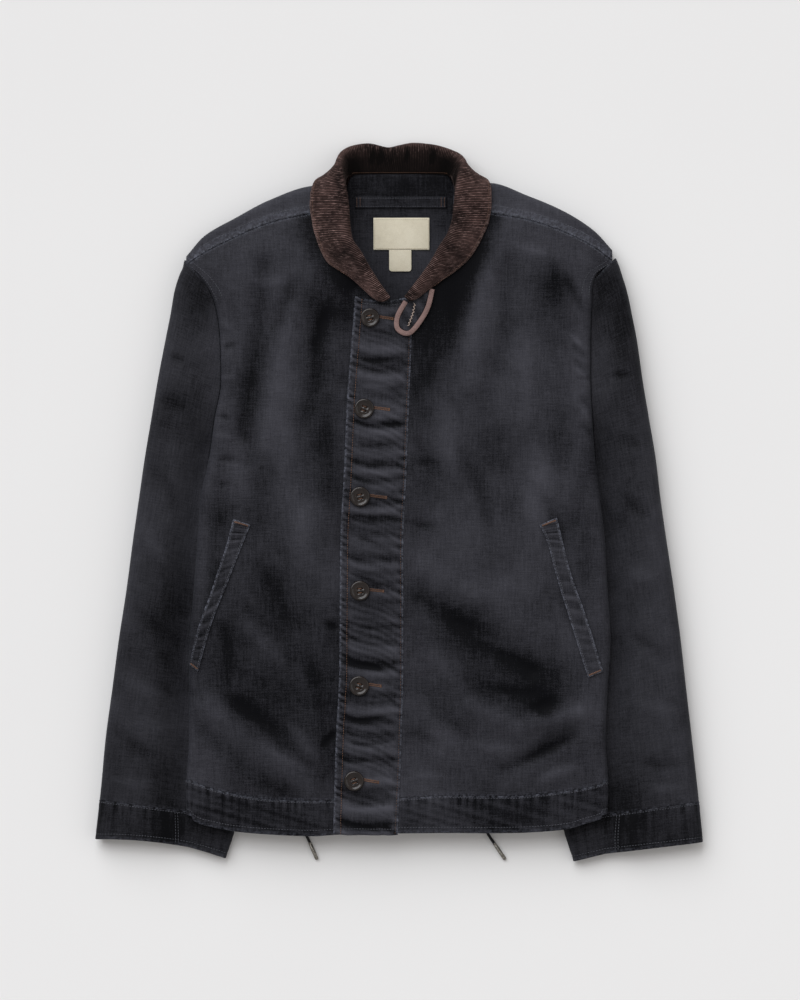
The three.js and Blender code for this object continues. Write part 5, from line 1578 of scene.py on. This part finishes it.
def button(index, row):
    x, y, radius = row
    seat, normal = on_surface(top_height, x, y, BUTTON_REACH, PLACKET_LIFT + BUTTON_SEAT)
    mesh = button_mesh(radius)
    co = np.zeros(len(mesh.vertices) * 3)
    mesh.vertices.foreach_get("co", co)
    turn = 0.35 * np.sin(index * 2.3)
    spin = np.array([[np.cos(turn), -np.sin(turn), 0], [np.sin(turn), np.cos(turn), 0], [0, 0, 1]])
    co = placed(co.reshape(-1, 3) @ spin.T, seat, normal) * MM
    mesh.vertices.foreach_set("co", co.ravel())
    return shown(f"button_disc_{index}", mesh), seat, normal, spin


# Cords and their tips
def tube(name, path, radius_of, sides):
    """A closed tube along a path in metres, with its own radius at every point and side."""
    path = np.array(path, float)
    along = unit(np.gradient(path, axis=0))
    side = np.cross(along, np.array([0.0, 0.0, 1.0]))
    side[np.linalg.norm(side, axis=1) < 1e-6] = (1, 0, 0)
    side = unit(side)
    up = np.cross(side, along)
    angle = np.linspace(0, 2 * np.pi, sides, endpoint=False)
    count = len(path)
    radius = radius_of(np.arange(count)[:, None], angle[None])
    ring = (
        path[:, None]
        + side[:, None] * (np.cos(angle)[None] * radius)[..., None]
        + up[:, None] * (np.sin(angle)[None] * radius)[..., None]
    )
    points = np.concatenate([ring.reshape(-1, 3), path[:1], path[-1:]]) / MM
    faces = turned_faces(count, sides)
    first, last = count * sides, count * sides + 1
    for k in range(sides):
        n = (k + 1) % sides
        faces.append([first, n, k, k])
        faces.append([last, (count - 1) * sides + k, (count - 1) * sides + n, (count - 1) * sides + n])
    return polygons(name, points, [list(dict.fromkeys(f)) for f in faces])


def polygons(name, points, faces):
    mesh = bpy.data.meshes.new(name)
    mesh.from_pydata((np.asarray(points) * MM).tolist(), [], faces)
    return shown(name, mesh)


BRAID_LENGTH = 0.0024
CORD_POINTS = 160
CORD_SIDES = 20


def drawcord(side):
    route = CORDS[side]["route"]
    x, y = route[0][:2]
    z = float(top_height(np.array(x / MM), np.array(y / MM))) - BAND_WALL - CORD_BELOW_BAND
    path = spline([(x, y, z * MM), *route], CORD_POINTS)
    run = run_along(path)

    def radius(k, angle):
        twist = 2 * np.pi * run[k] / BRAID_LENGTH
        weave = np.abs(np.sin(3 * angle + twist)) + np.abs(np.sin(3 * angle - twist))
        return CORD_RADIUS * (0.9 + 0.06 * weave)

    thing = tube("drawcord_shell_" + side, path, radius, CORD_SIDES)
    return thing, path, run[-1]


def cord_tip(side):
    last, tip = CORDS[side]["route"][-1], CORDS[side]["tip"]
    start, end = (np.array([x / MM, y / MM, TIP_RADIUS + 0.02]) for x, y in (last[:2], tip))
    along = unit(end - start)
    start = start + along * TIP_GAP
    length = np.linalg.norm(end - start)
    rings = [
        (1.62, 0), (1.8, 0.05), (1.88, 0.35), (1.88, 1.1), (1.66, 1.5), (1.66, 2.1), (1.88, 2.5),
        (1.88, length * 0.86), (1.82, length * 0.95), (1.6, length * 0.99), (1.3, length),
    ]
    points = turned_points(rings, TIP_SIDES).reshape(-1, 3)
    faces = turned_faces(len(rings), TIP_SIDES)
    faces.append(list(range(TIP_SIDES))[::-1])
    faces.append(list(range(len(points) - TIP_SIDES, len(points))))
    points = placed(points, start + np.array([0, 0, 0.15]), along)
    return polygons("cord_tip_shell_" + side, points, faces)


# Stitching: one small rounded grain a stitch, and one mesh for each thread of a piece
STITCH_RINGS = [
    # share along, share of the radius
    (-0.5, 0.45),
    (0, 1),
    (0.5, 0.45),
]
STITCH_SIDES = 5
STITCHES = {}


def sampled(points, normals, pitch, length):
    """Evenly spaced places along a line, at least one, with the line's direction and the normal."""
    points, normals = np.asarray(points, float), np.asarray(normals, float)
    run = run_along(points)
    count = max(1, round(run[-1] / pitch))
    at = (np.arange(count) + 0.5) * (run[-1] / count)
    pick = lambda field, where: np.stack([np.interp(where, run, part) for part in field.T], axis=1)
    ahead, behind = np.minimum(at + length / 2, run[-1]), np.maximum(at - length / 2, 0)
    return pick(points, at), unit(pick(points, ahead) - pick(points, behind)), unit(pick(normals, at))


def grains(centre, along, normal, length, radius, sink):
    aside = unit(np.cross(normal, along))
    centre = centre + normal * radius * (1 - 2 * sink)
    rings = []
    for share, wide in STITCH_RINGS:
        for angle in np.linspace(0, 2 * np.pi, STITCH_SIDES, endpoint=False):
            rings.append(
                centre
                + along * (share * length)
                + (aside * np.cos(angle) + normal * np.sin(angle) * 0.8) * (radius * wide)
                - normal * (abs(share) * 2 * radius * 0.7)
            )
    return np.stack(rings, axis=1)


def seam_line(piece, thread, points, normals, pitch=3.0, length=2.2, radius=0.36, sink=0.25):
    centre, along, normal = sampled(points, normals, pitch, length)
    STITCHES.setdefault((piece, thread), []).append(grains(centre, along, normal, length, radius, sink))


def satin(piece, thread, points, normals, aside=0.0, pitch=0.8, width=1.6, radius=0.34, sink=0.1, slant=0.0):
    """Close stitches across a line, as round a buttonhole or in a bar tack."""
    centre, along, normal = sampled(points, normals, pitch, pitch)
    across_line = unit(np.cross(normal, along))
    turn = slant * (-1.0) ** np.arange(len(centre))[:, None]
    way = unit(across_line + along * turn)
    STITCHES.setdefault((piece, thread), []).append(
        grains(centre + across_line * aside, way, normal, width, radius, sink)
    )


def stitch_mesh(name, bodies):
    """One mesh of a thread's stitches, without those that would lie under the floor."""
    bodies = np.concatenate(bodies)
    bodies = bodies[bodies[..., 2].min(axis=1) >= 0]
    size = bodies.shape[1]
    last = (len(STITCH_RINGS) - 1) * STITCH_SIDES
    base = turned_faces(len(STITCH_RINGS), STITCH_SIDES)
    base.append(list(range(STITCH_SIDES))[::-1])
    base.append([last + k for k in range(STITCH_SIDES)])
    faces = [[first + k for k in face] for first in range(0, len(bodies) * size, size) for face in base]
    return polygons(name, bodies.reshape(-1, 3), faces)


def inset(piece, edge, distance, start=0.0, end=1.0, closed=False):
    """Points and normals along a line that keeps a distance from one edge of a piece's grid."""
    grid, normals = GRIDS[piece]
    if edge in ("first column", "last column"):
        grid, normals = grid.swapaxes(0, 1), normals.swapaxes(0, 1)
    if edge in ("last row", "last column"):
        grid, normals = grid[::-1], normals[::-1]
    count = grid.shape[1]
    picked = np.arange(round(start * (count - 1)), round(end * (count - 1)) + 1)
    if closed:
        picked = np.append(picked, 0)
    grid, normals = grid[:, picked], normals[:, picked]
    row = np.array([np.interp(distance, run, np.arange(len(run))) for run in run_along(grid).T])
    return on_grid(grid, normals, row, np.arange(len(picked)))


def on_grid(grid, normals, rows, columns):
    """Points and normals at fractional rows and columns of a grid."""
    rows, columns = np.broadcast_arrays(np.asarray(rows, float), np.asarray(columns, float))
    rows = np.clip(rows, 0, grid.shape[0] - 1.001)
    columns = np.clip(columns, 0, grid.shape[1] - 1.001)
    j, i = rows.astype(int), columns.astype(int)
    t, s = (rows - j)[:, None], (columns - i)[:, None]

    def blend(field):
        return lerp(lerp(field[j, i], field[j, i + 1], s), lerp(field[j + 1, i], field[j + 1, i + 1], s), t)

    return blend(grid), unit(blend(normals))


# Materials
class Look:
    """A material being made, with short calls for the nodes that it uses."""

    def __init__(self, name, base, roughness):
        self.made = bpy.data.materials.new(name)
        self.made.use_nodes = True
        self.tree = self.made.node_tree
        self.shader = self.tree.nodes["Principled BSDF"]
        self.place = self.tree.nodes.new("ShaderNodeTexCoord").outputs["Object"]
        self.raised = None
        self.set(Base_Color=(*base, 1), Roughness=roughness)

    def set(self, **values):
        """Sets the shader's own sockets, by value or by a link."""
        self.fill(self.shader, {key.replace("_", " "): value for key, value in values.items()})

    def fill(self, made, values):
        for place, value in values.items():
            if isinstance(value, bpy.types.NodeSocket):
                self.tree.links.new(value, made.inputs[place])
            elif value is not None:
                made.inputs[place].default_value = value

    def node(self, kind, values, **settings):
        made = self.tree.nodes.new(kind)
        for key, value in settings.items():
            setattr(made, key, value)
        self.fill(made, values)
        return made

    def attribute(self, name, output="Fac"):
        return self.node("ShaderNodeAttribute", {}, attribute_name=name).outputs[output]

    def math(self, operation, a, b=None, clamp=False):
        return self.node("ShaderNodeMath", {0: a, 1: b}, operation=operation, use_clamp=clamp).outputs[0]

    def times(self, a, b, clamp=False):
        return self.math("MULTIPLY", a, b, clamp)

    def plus(self, first, *others):
        for other in others:
            first = self.math("ADD", first, other)
        return first

    def mix(self, factor, a, b):
        a, b = (end if isinstance(end, bpy.types.NodeSocket) else (*end, 1) for end in (a, b))
        return self.node("ShaderNodeMix", {0: factor, 6: a, 7: b}, data_type="RGBA").outputs[2]

    def noise(self, scale, detail=3.0, roughness=0.55, at=None):
        at = self.place if at is None else at
        values = {"Vector": at, "Scale": scale, "Detail": detail, "Roughness": roughness}
        return self.node("ShaderNodeTexNoise", values).outputs["Fac"]

    def stretched(self, vector, *factors):
        return self.node("ShaderNodeMapping", {"Vector": vector, "Scale": factors}).outputs["Vector"]

    def ramp(self, factor, low, high):
        values = {"Value": factor, "From Min": low, "From Max": high}
        return self.node("ShaderNodeMapRange", values).outputs["Result"]

    def bump(self, height, distance, strength):
        """A bump over those before it."""
        values = {"Height": height, "Distance": distance, "Strength": strength, "Normal": self.raised}
        self.raised = self.node("ShaderNodeBump", values).outputs["Normal"]
        self.set(Normal=self.raised)


CLOTH_RIB_MM = 1.25


def cloth_material(name, dark, light, faded, cover, share):
    """Washed cord-like cloth: fine ribs and yarns, cloudy fading, pale worn edges, and painted shade and
    highlight from the tone attribute.
    """
    look = Look(name, dark, 0.56)
    grain = look.attribute("grain", "Vector")
    streaks = look.noise(1, 3, 0.7, look.stretched(grain, 520, 40, 1))
    cross = look.noise(1, 2, 0.6, look.stretched(grain, 60, 800, 1))
    shade = look.plus(
        look.times(look.noise(11, 5, 0.62), 0.8),
        look.times(streaks, 0.4),
        look.times(cross, 0.35),
        look.times(look.noise(1100, 2, 0.6), 0.6),
    )
    # Painted light and shade from the tone attribute
    fade = look.times(look.attribute("tone"), share)
    tone = look.mix(look.math("ADD", look.ramp(shade, *cover), fade, clamp=True), dark, light)
    rubbed = look.times(look.attribute("wear"), look.ramp(look.noise(330, 4, 0.75), 0.44, 0.62), clamp=True)
    tone = look.mix(look.times(rubbed, 0.7), tone, faded)
    scale = 1000 / CLOTH_RIB_MM / (2 * np.pi)
    ribs = {"Vector": grain, "Scale": scale, "Distortion": 0.6, "Detail": 2.0}
    look.bump(look.node("ShaderNodeTexWave", ribs, bands_direction="X").outputs["Fac"], 0.00012, 0.4)
    look.bump(look.noise(1, 2, 0.6, look.stretched(grain, 500, 900, 1)), 0.0002, 0.5)
    look.bump(look.noise(75, 4, 0.6), 0.0012, 0.4)
    look.set(Base_Color=tone, Specular_IOR_Level=0.04)
    look.set(Sheen_Weight=0.03, Sheen_Roughness=0.5, Sheen_Tint=(0.7, 0.74, 0.86, 1))
    return look.made


def corduroy_material():
    """Ribbed pile: raised ribs worn reddish and painted lighter as highlight, valleys painted dark as shade,
    uneven nap, and painted shade from the tone attribute.
    """
    look = Look("corduroy", (0.03, 0.018, 0.016), 0.7)
    grain = look.attribute("grain", "Vector")
    along = look.node("ShaderNodeSeparateXYZ", {"Vector": grain}).outputs["X"]
    ribs = look.math("ABSOLUTE", look.math("COSINE", look.times(along, np.pi / (WALE_PITCH * MM))))
    nap = look.noise(1, 4, 0.75, look.stretched(grain, 420, 130, 1))
    clouds = look.ramp(look.noise(38, 5, 0.7), 0.38, 0.66)
    top = look.mix(clouds, (0.02, 0.0118, 0.0106), (0.125, 0.074, 0.066))
    # Valleys between the ribs painted near black as shade and the rib tops lighter; pale tufts on the rib
    # tops are partly wear and partly painted highlight
    tone = look.mix(look.ramp(ribs, 0.48, 1.0), (0.0025, 0.0018, 0.0018), top)
    tufts = look.times(look.ramp(nap, 0.5, 0.72), look.ramp(ribs, 0.5, 0.95))
    tone = look.mix(look.times(tufts, 0.7), tone, (0.36, 0.235, 0.215))
    worn = look.times(look.attribute("wear"), look.ramp(look.noise(420, 3, 0.7), 0.42, 0.62), clamp=True)
    tone = look.mix(look.times(worn, 0.6), tone, (0.34, 0.23, 0.21))
    # Painted shade where the tone attribute is low, as on the stand under the roll
    hidden = look.times(look.attribute("tone"), -0.75, clamp=True)
    tone = look.mix(hidden, tone, (0.002, 0.0015, 0.0014))
    look.bump(nap, 0.0004, 0.6)
    look.set(Base_Color=tone, Specular_IOR_Level=0.05)
    look.set(Sheen_Weight=0.1, Sheen_Roughness=0.4, Sheen_Tint=(0.9, 0.66, 0.6, 1))
    return look.made


def woven_material(name, base, light, scale):
    """Plain fine weave with a little uneven tone."""
    look = Look(name, base, 0.85)
    fine = look.noise(scale, 2, 0.6)
    mixed = look.plus(look.times(fine, 0.5), look.times(look.noise(60, 3, 0.6), 0.5))
    threads = look.node("ShaderNodeTexWave", {"Vector": look.place, "Scale": scale / 4, "Distortion": 0.4})
    look.bump(threads.outputs["Fac"], 0.0001, 0.4)
    look.bump(fine, 0.00015, 0.4)
    look.set(Base_Color=look.mix(look.ramp(mixed, 0.35, 0.65), base, light), Specular_IOR_Level=0.2)
    return look.made


def button_material():
    """Polished dark brown with a darker swirl."""
    look = Look("button", (0.02, 0.011, 0.008), 0.28)
    swirl = look.noise(1, 4, 0.7, look.stretched(look.place, 220, 60, 200))
    tone = look.mix(look.ramp(swirl, 0.35, 0.75), (0.006, 0.004, 0.0034), (0.016, 0.0095, 0.0075))
    look.bump(look.noise(500, 2, 0.5), 0.0001, 0.15)
    look.set(Base_Color=tone, Roughness=look.ramp(look.noise(700, 3, 0.6), 0.0, 2.6))
    look.set(Specular_IOR_Level=0.42, Coat_Weight=0.1, Coat_Roughness=0.12)
    return look.made


def metal_material():
    look = Look("metal", (0.42, 0.4, 0.36), 0.4)
    tone = look.mix(look.ramp(look.noise(500, 3, 0.6), 0.35, 0.7), (0.11, 0.1, 0.085), (0.36, 0.345, 0.31))
    look.bump(look.noise(900, 2, 0.6), 0.00006, 0.3)
    look.set(Base_Color=tone, Metallic=0.85)
    return look.made


def floor_material():
    look = Look("floor", (0.77, 0.77, 0.77), 0.9)
    tone = look.mix(look.noise(3, 2, 0.5), (0.76, 0.76, 0.76), (0.78, 0.78, 0.78))
    look.set(Base_Color=tone, Specular_IOR_Level=0.1)
    return look.made


def finish_piece(thing, slot_name, look, *nodes):
    """Gives a piece its material and body, and hides the nodes that it replaces; its slot name is not used.
    """
    thing.data.materials.append(MATERIALS[look])
    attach(thing, "root")
    if nodes:
        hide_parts(*nodes)
    return thing


# Making: the camera and the cords come first
def add_camera():
    data = bpy.data.cameras.new("camera")
    data.sensor_width = SENSOR
    data.lens = SENSOR * CAMERA_DISTANCE / VIEW_HEIGHT
    data.clip_start, data.clip_end = 0.1, 100
    camera = bpy.data.objects.new("camera", data)
    camera.location = (VIEW_CENTRE[0], VIEW_CENTRE[1], VIEW_CENTRE[2] + CAMERA_DISTANCE)
    bpy.context.scene.collection.objects.link(camera)
    bpy.context.scene.camera = camera


add_camera()
MATERIALS = {
    "body": cloth_material(
        "cloth_body", (0.0025, 0.0026, 0.0035), (0.056, 0.0562, 0.068), (0.15, 0.16, 0.2), (0.79, 1.51), 0.46
    ),
    "sleeve": cloth_material(
        "cloth_sleeve", (0.0025, 0.0026, 0.0033), (0.046, 0.0462, 0.0555), (0.12, 0.126, 0.155),
        (0.76, 1.48), 0.42,
    ),
    "corduroy": corduroy_material(),
    "binding": woven_material("binding", (0.13, 0.083, 0.076), (0.24, 0.158, 0.146), 900),
    "label": woven_material("label", (0.57, 0.52, 0.4), (0.7, 0.655, 0.53), 1400),
    "button": button_material(),
    "cord": woven_material("cord", (0.006, 0.006, 0.007), (0.02, 0.02, 0.022), 1500),
    "metal": metal_material(),
    "thread": woven_material("thread_navy", (0.04, 0.042, 0.051), (0.1, 0.104, 0.12), 1500),
    "thread_brown": woven_material("thread_brown", (0.08, 0.042, 0.027), (0.19, 0.105, 0.07), 1500),
    "thread_label": woven_material("thread_label", (0.42, 0.36, 0.24), (0.55, 0.49, 0.36), 1500),
    "thread_pale": woven_material("thread_pale", (0.33, 0.27, 0.24), (0.5, 0.43, 0.38), 1500),
}

for side in ("right", "left"):
    cord, path, cord_length = drawcord(side)
    finish_piece(cord, "cord", "cord", "drawcord_" + side)
    tip = finish_piece(cord_tip(side), "metal", "metal", "cord_tip_" + side)

finish_piece(back_panel(), "cloth", "body", "back")
finish_piece(placket(), "cloth", "body", "placket")
finish_piece(hem_band(), "cloth", "body", "hem_band")
for side in ("right", "left"):
    finish_piece(front_panel(side), "cloth", "body", "front_" + side)
    finish_piece(sleeve(side), "cloth", "sleeve", "sleeve_" + side)
    finish_piece(cuff(side), "cloth", "sleeve", "cuff_" + side)
for name in WELTS:
    finish_piece(pocket_welt(name), "cloth", "body", name)
finish_piece(collar(), "corduroy", "corduroy", "collar")
binding = finish_piece(tab_binding(), "binding", "binding", "tab_binding")
finish_piece(tab_leaf(), "cloth", "body", "throat_tab")
finish_piece(lying_inside("hanger_loop"), "cloth", "body", "hanger_loop")
for name in ("neck_label", "size_tag"):
    finish_piece(lying_inside(name), "label", "label", name)
for index, row in enumerate(BUTTONS, 1):
    thing, seat, normal, spin = button(index, row)
    finish_piece(thing, "button", "button", f"button_{index}")
    for offset in (-HOLE_OFF, HOLE_OFF):
        ends = np.array([(-2.6, offset, BUTTON_FACE), (2.6, offset, BUTTON_FACE)]) @ spin.T
        ends = placed(ends, seat, normal)
        seam_line(f"button_disc_{index}", "thread_brown", ends, [normal] * 2, 9, 5.0, 0.42, 0.1)


# Where the stitches are
BUTTONHOLES = [
    # x1, y1, x2, y2
    (-20.7, 193.7, -7, 191.6),
    (-26.5, 98.4, -10.9, 96.5),
    (-31.3, 6.5, -13.9, 4.2),
    (-31.2, -92.4, -17, -94),
    (-32.3, -191.6, -19.7, -193.5),
    (-37.4, -291.9, -22.3, -294.5),
]
TAB_HOLE = [(16.3, 207.4), (14.5, 198), (12, 190.5), (9.5, 183.9)]
LOOP_BARS = (-44.6, -41.2, 44.2, 47.6)
ARMHOLE_STITCHES = {"rows": (2, 27), "columns": (84.5, 89)}
CUFF_SEAM_COLUMN = FIRST_HIDDEN - 7


def stitch_placket():
    name = "placket_shell"
    seam_line(name, "thread_brown", *inset(name, "first column", EDGE_STITCH_IN), 2.7, 2.0, 0.36)
    seam_line(name, "thread_brown", *inset(name, "last column", SEAM_STITCH_IN), 2.9, 1.6, 0.24)
    seam_line(name, "thread", *inset(name, "first row", 4.6, 0.12), 2.7, 2.0)
    seam_line(name, "thread", *inset(name, "last row", 5.8), 2.9)
    for x1, y1, x2, y2 in BUTTONHOLES:
        line = np.linspace(x1, x2, 9), np.linspace(y1, y2, 9)
        points, normals = on_surface(placket_height, *line, PLACKET_STEP, 0.05)
        for aside in (-0.85, 0.85):
            satin(name, "thread_brown", points, normals, aside, 0.75, 1.5, 0.36)
        bar = np.full(4, x2 + 0.4), y2 + np.linspace(-1.6, 1.6, 4)
        points, normals = on_surface(placket_height, *bar, PLACKET_STEP, 0.1)
        satin(name, "thread_brown", points, normals, 0, 0.7, 1.8, 0.36)


def stitch_body():
    name = "hem_band_shell"
    seam_line(name, "thread", *inset(name, "last row", 5.8))
    seam_line(name, "thread", *inset(name, "first row", 2.0))
    name = "back_shell"
    x = GRIDS[name][0][-1, :, 0]
    neck = np.nonzero(x <= -HPS_Q)[0].max() / (len(x) - 1)
    for start, end in ((0.03, neck), (1 - neck, 0.97)):
        for distance in (1.5, SEAM_RIDGE["width"] - 0.6):
            seam_line(name, "thread", *inset(name, "last row", distance, start, end), 2.7, 2.0)
    for side in ("right", "left"):
        name = "front_shell_" + side
        rows = np.linspace(*ARMHOLE_STITCHES["rows"], 30)
        for column in ARMHOLE_STITCHES["columns"]:
            seam_line(name, "thread", *on_grid(*GRIDS[name], rows, column), 2.8, 2.1)
        seam_line(name, "thread", *inset(name, "first row", 2.0, 0, 0.8), 2.8, 2.0, 0.3)


def stitch_cuffs():
    for side in ("right", "left"):
        name = "cuff_shell_" + side
        seam_line(name, "thread", *inset(name, "last row", 5.2, closed=True))
        seam_line(name, "thread", *inset(name, "first row", 2.0, closed=True))
        rows = np.linspace(1, CUFF_ROWS - 1, 20)
        for column in (CUFF_SEAM_COLUMN, CUFF_SEAM_COLUMN + 1.6):
            seam_line(name, "thread", *on_grid(*GRIDS[name], rows, column))


def stitch_pockets():
    for piece in WELTS:
        name = piece + "_shell"
        seam_line(name, "thread", *inset(name, "first column", 1.9), 2.7, 2.0)
        seam_line(name, "thread", *inset(name, "last column", 1.9), 2.7, 2.0)
        for edge in ("first row", "last row"):
            satin(name, "thread_brown", *inset(name, edge, 1.8, 0.08, 0.92), 0, 0.75, 2.2, 0.36, slant=0.4)


def stitch_collar():
    name = "collar_shell"
    seam_line(name, "thread_brown", *inset(name, "last row", 2.4, 0.004, 0.996), 2.5, 1.5, 0.24, 0.1)
    seam_line(name, "thread_brown", *inset(name, "first row", 1.0, 0.38, 0.62), 2.4, 1.7, 0.2, 0.05)
    points = lifted(spline(TAB_HOLE, 30), TAB["seat"] + 0.3)
    normals = np.tile((0.0, 0.0, 1.0), (len(points), 1))
    satin("throat_tab_shell", "thread_pale", points, normals, 0, 1.7, 3.4, 0.36, slant=0.9)
    satin("throat_tab_shell", "thread_brown", points, normals, 0, 0.9, 1.5, 0.3)


def stitch_labels():
    name = "hanger_loop_shell"
    for edge in ("first row", "last row"):
        seam_line(name, "thread", *inset(name, edge, 1.5), 2.6, 1.9, 0.32)
    start, end = LABELS["hanger_loop"]["x"]
    rows = np.linspace(1, 18, 12)
    for x in LOOP_BARS:
        column = (x - start) / (end - start) * (LABEL_GRID["hanger_loop"][0] - 1)
        seam_line(name, "thread_brown", *on_grid(*GRIDS[name], rows, column), 2.2, 1.7, 0.32)
    name = "neck_label_shell"
    for edge in ("first row", "last row", "first column", "last column"):
        seam_line(name, "thread_label", *inset(name, edge, 1.2, 0.03, 0.97), 2.2, 1.6, 0.22, 0.1)


stitch_placket()
stitch_body()
stitch_cuffs()
stitch_pockets()
stitch_collar()
stitch_labels()
SEWN = {}
for (piece, thread), bodies in STITCHES.items():
    made = stitch_mesh(piece.replace("_shell", "") + "_" + thread, bodies)
    SEWN.setdefault(piece, []).append(finish_piece(made, "cloth", thread))

SHEETS = [
    # piece, width and length of the cut, its area in square metres, what it lies on
    ("back_shell", 0.47, 0.70, 0.2485, ["floor"]),
    ("front_shell_right", 0.26, 0.63, 0.1375, ["back_shell"]),
    ("front_shell_left", 0.26, 0.63, 0.143, ["back_shell"]),
    ("placket_shell", 0.069, 0.566, 0.038, ["front_shell_right"]),
    ("hem_band_shell", 0.92, 0.0395, 0.034, ["floor"]),
    ("sleeve_shell_right", 0.3, 0.59, 0.1325, ["floor"]),
    ("sleeve_shell_left", 0.3, 0.59, 0.131, ["floor"]),
    ("cuff_shell_right", 0.3, 0.044, 0.012, ["floor"]),
    ("cuff_shell_left", 0.32, 0.044, 0.0129, ["floor"]),
    ("collar_shell", 0.6, 0.09, 0.0265, ["back_shell", "front_shell_right", "front_shell_left"]),
    ("pocket_welt_right_shell", 0.016, 0.165, 0.0024, ["front_shell_right"]),
    ("pocket_welt_left_shell", 0.019, 0.17, 0.003, ["front_shell_left"]),
    ("throat_tab_shell", 0.03, 0.04, 0.00075, ["placket_shell"]),
    ("hanger_loop_shell", 0.096, 0.0116, 0.0011, ["back_shell"]),
    ("neck_label_shell", 0.0586, 0.0335, 0.00196, ["back_shell"]),
    ("size_tag_shell", 0.0232, 0.0223, 0.0005, ["back_shell"]),
]
for name, width, length, area, below in SHEETS:
    piece = bpy.data.objects[name]


# Floor and lights
FLOOR_HALF = 6.0
FLOOR_BELOW = -0.0002


def add_floor():
    half = FLOOR_HALF
    floor = polygons(
        "floor",
        np.array([(-half, -half, 0), (half, -half, 0), (half, half, 0), (-half, half, 0)]) / MM,
        [[0, 1, 2, 3]],
    )
    floor.location.z = FLOOR_BELOW
    floor.data.materials.append(floor_material())


SUNS = [
    # name, the way to it, strength, width in radians, colour
    ("key", (-0.4, 0.68, 0.68), 2.56, 1.1, (0.98, 0.995, 1.02)),
    ("side", (0.8, 0.15, 0.5), 0.3, 0.9, (1.0, 1.0, 1.0)),
    ("gleam", (-0.15, 0.7, 1.0), 0.12, 0.12, (1.0, 1.0, 1.0)),
]
WORLD_COLOUR = (1.0, 0.965, 0.94)
WORLD_STRENGTH = 0.46


def add_lights():
    for name, way, strength, width, colour in SUNS:
        data = bpy.data.lights.new(name, "SUN")
        data.energy = strength
        data.angle = width
        data.color = colour
        lamp = bpy.data.objects.new(name, data)
        lamp.location = way
        lamp.rotation_mode = "QUATERNION"
        lamp.rotation_quaternion = (-Vector(way)).to_track_quat("-Z", "Y")
        bpy.context.scene.collection.objects.link(lamp)
    world = bpy.data.worlds.new("world")
    world.use_nodes = True
    world.node_tree.nodes["Background"].inputs["Color"].default_value = (*WORLD_COLOUR, 1)
    world.node_tree.nodes["Background"].inputs["Strength"].default_value = WORLD_STRENGTH
    bpy.context.scene.world = world


add_floor()
add_lights()
bpy.context.scene.view_settings.view_transform = "Standard"
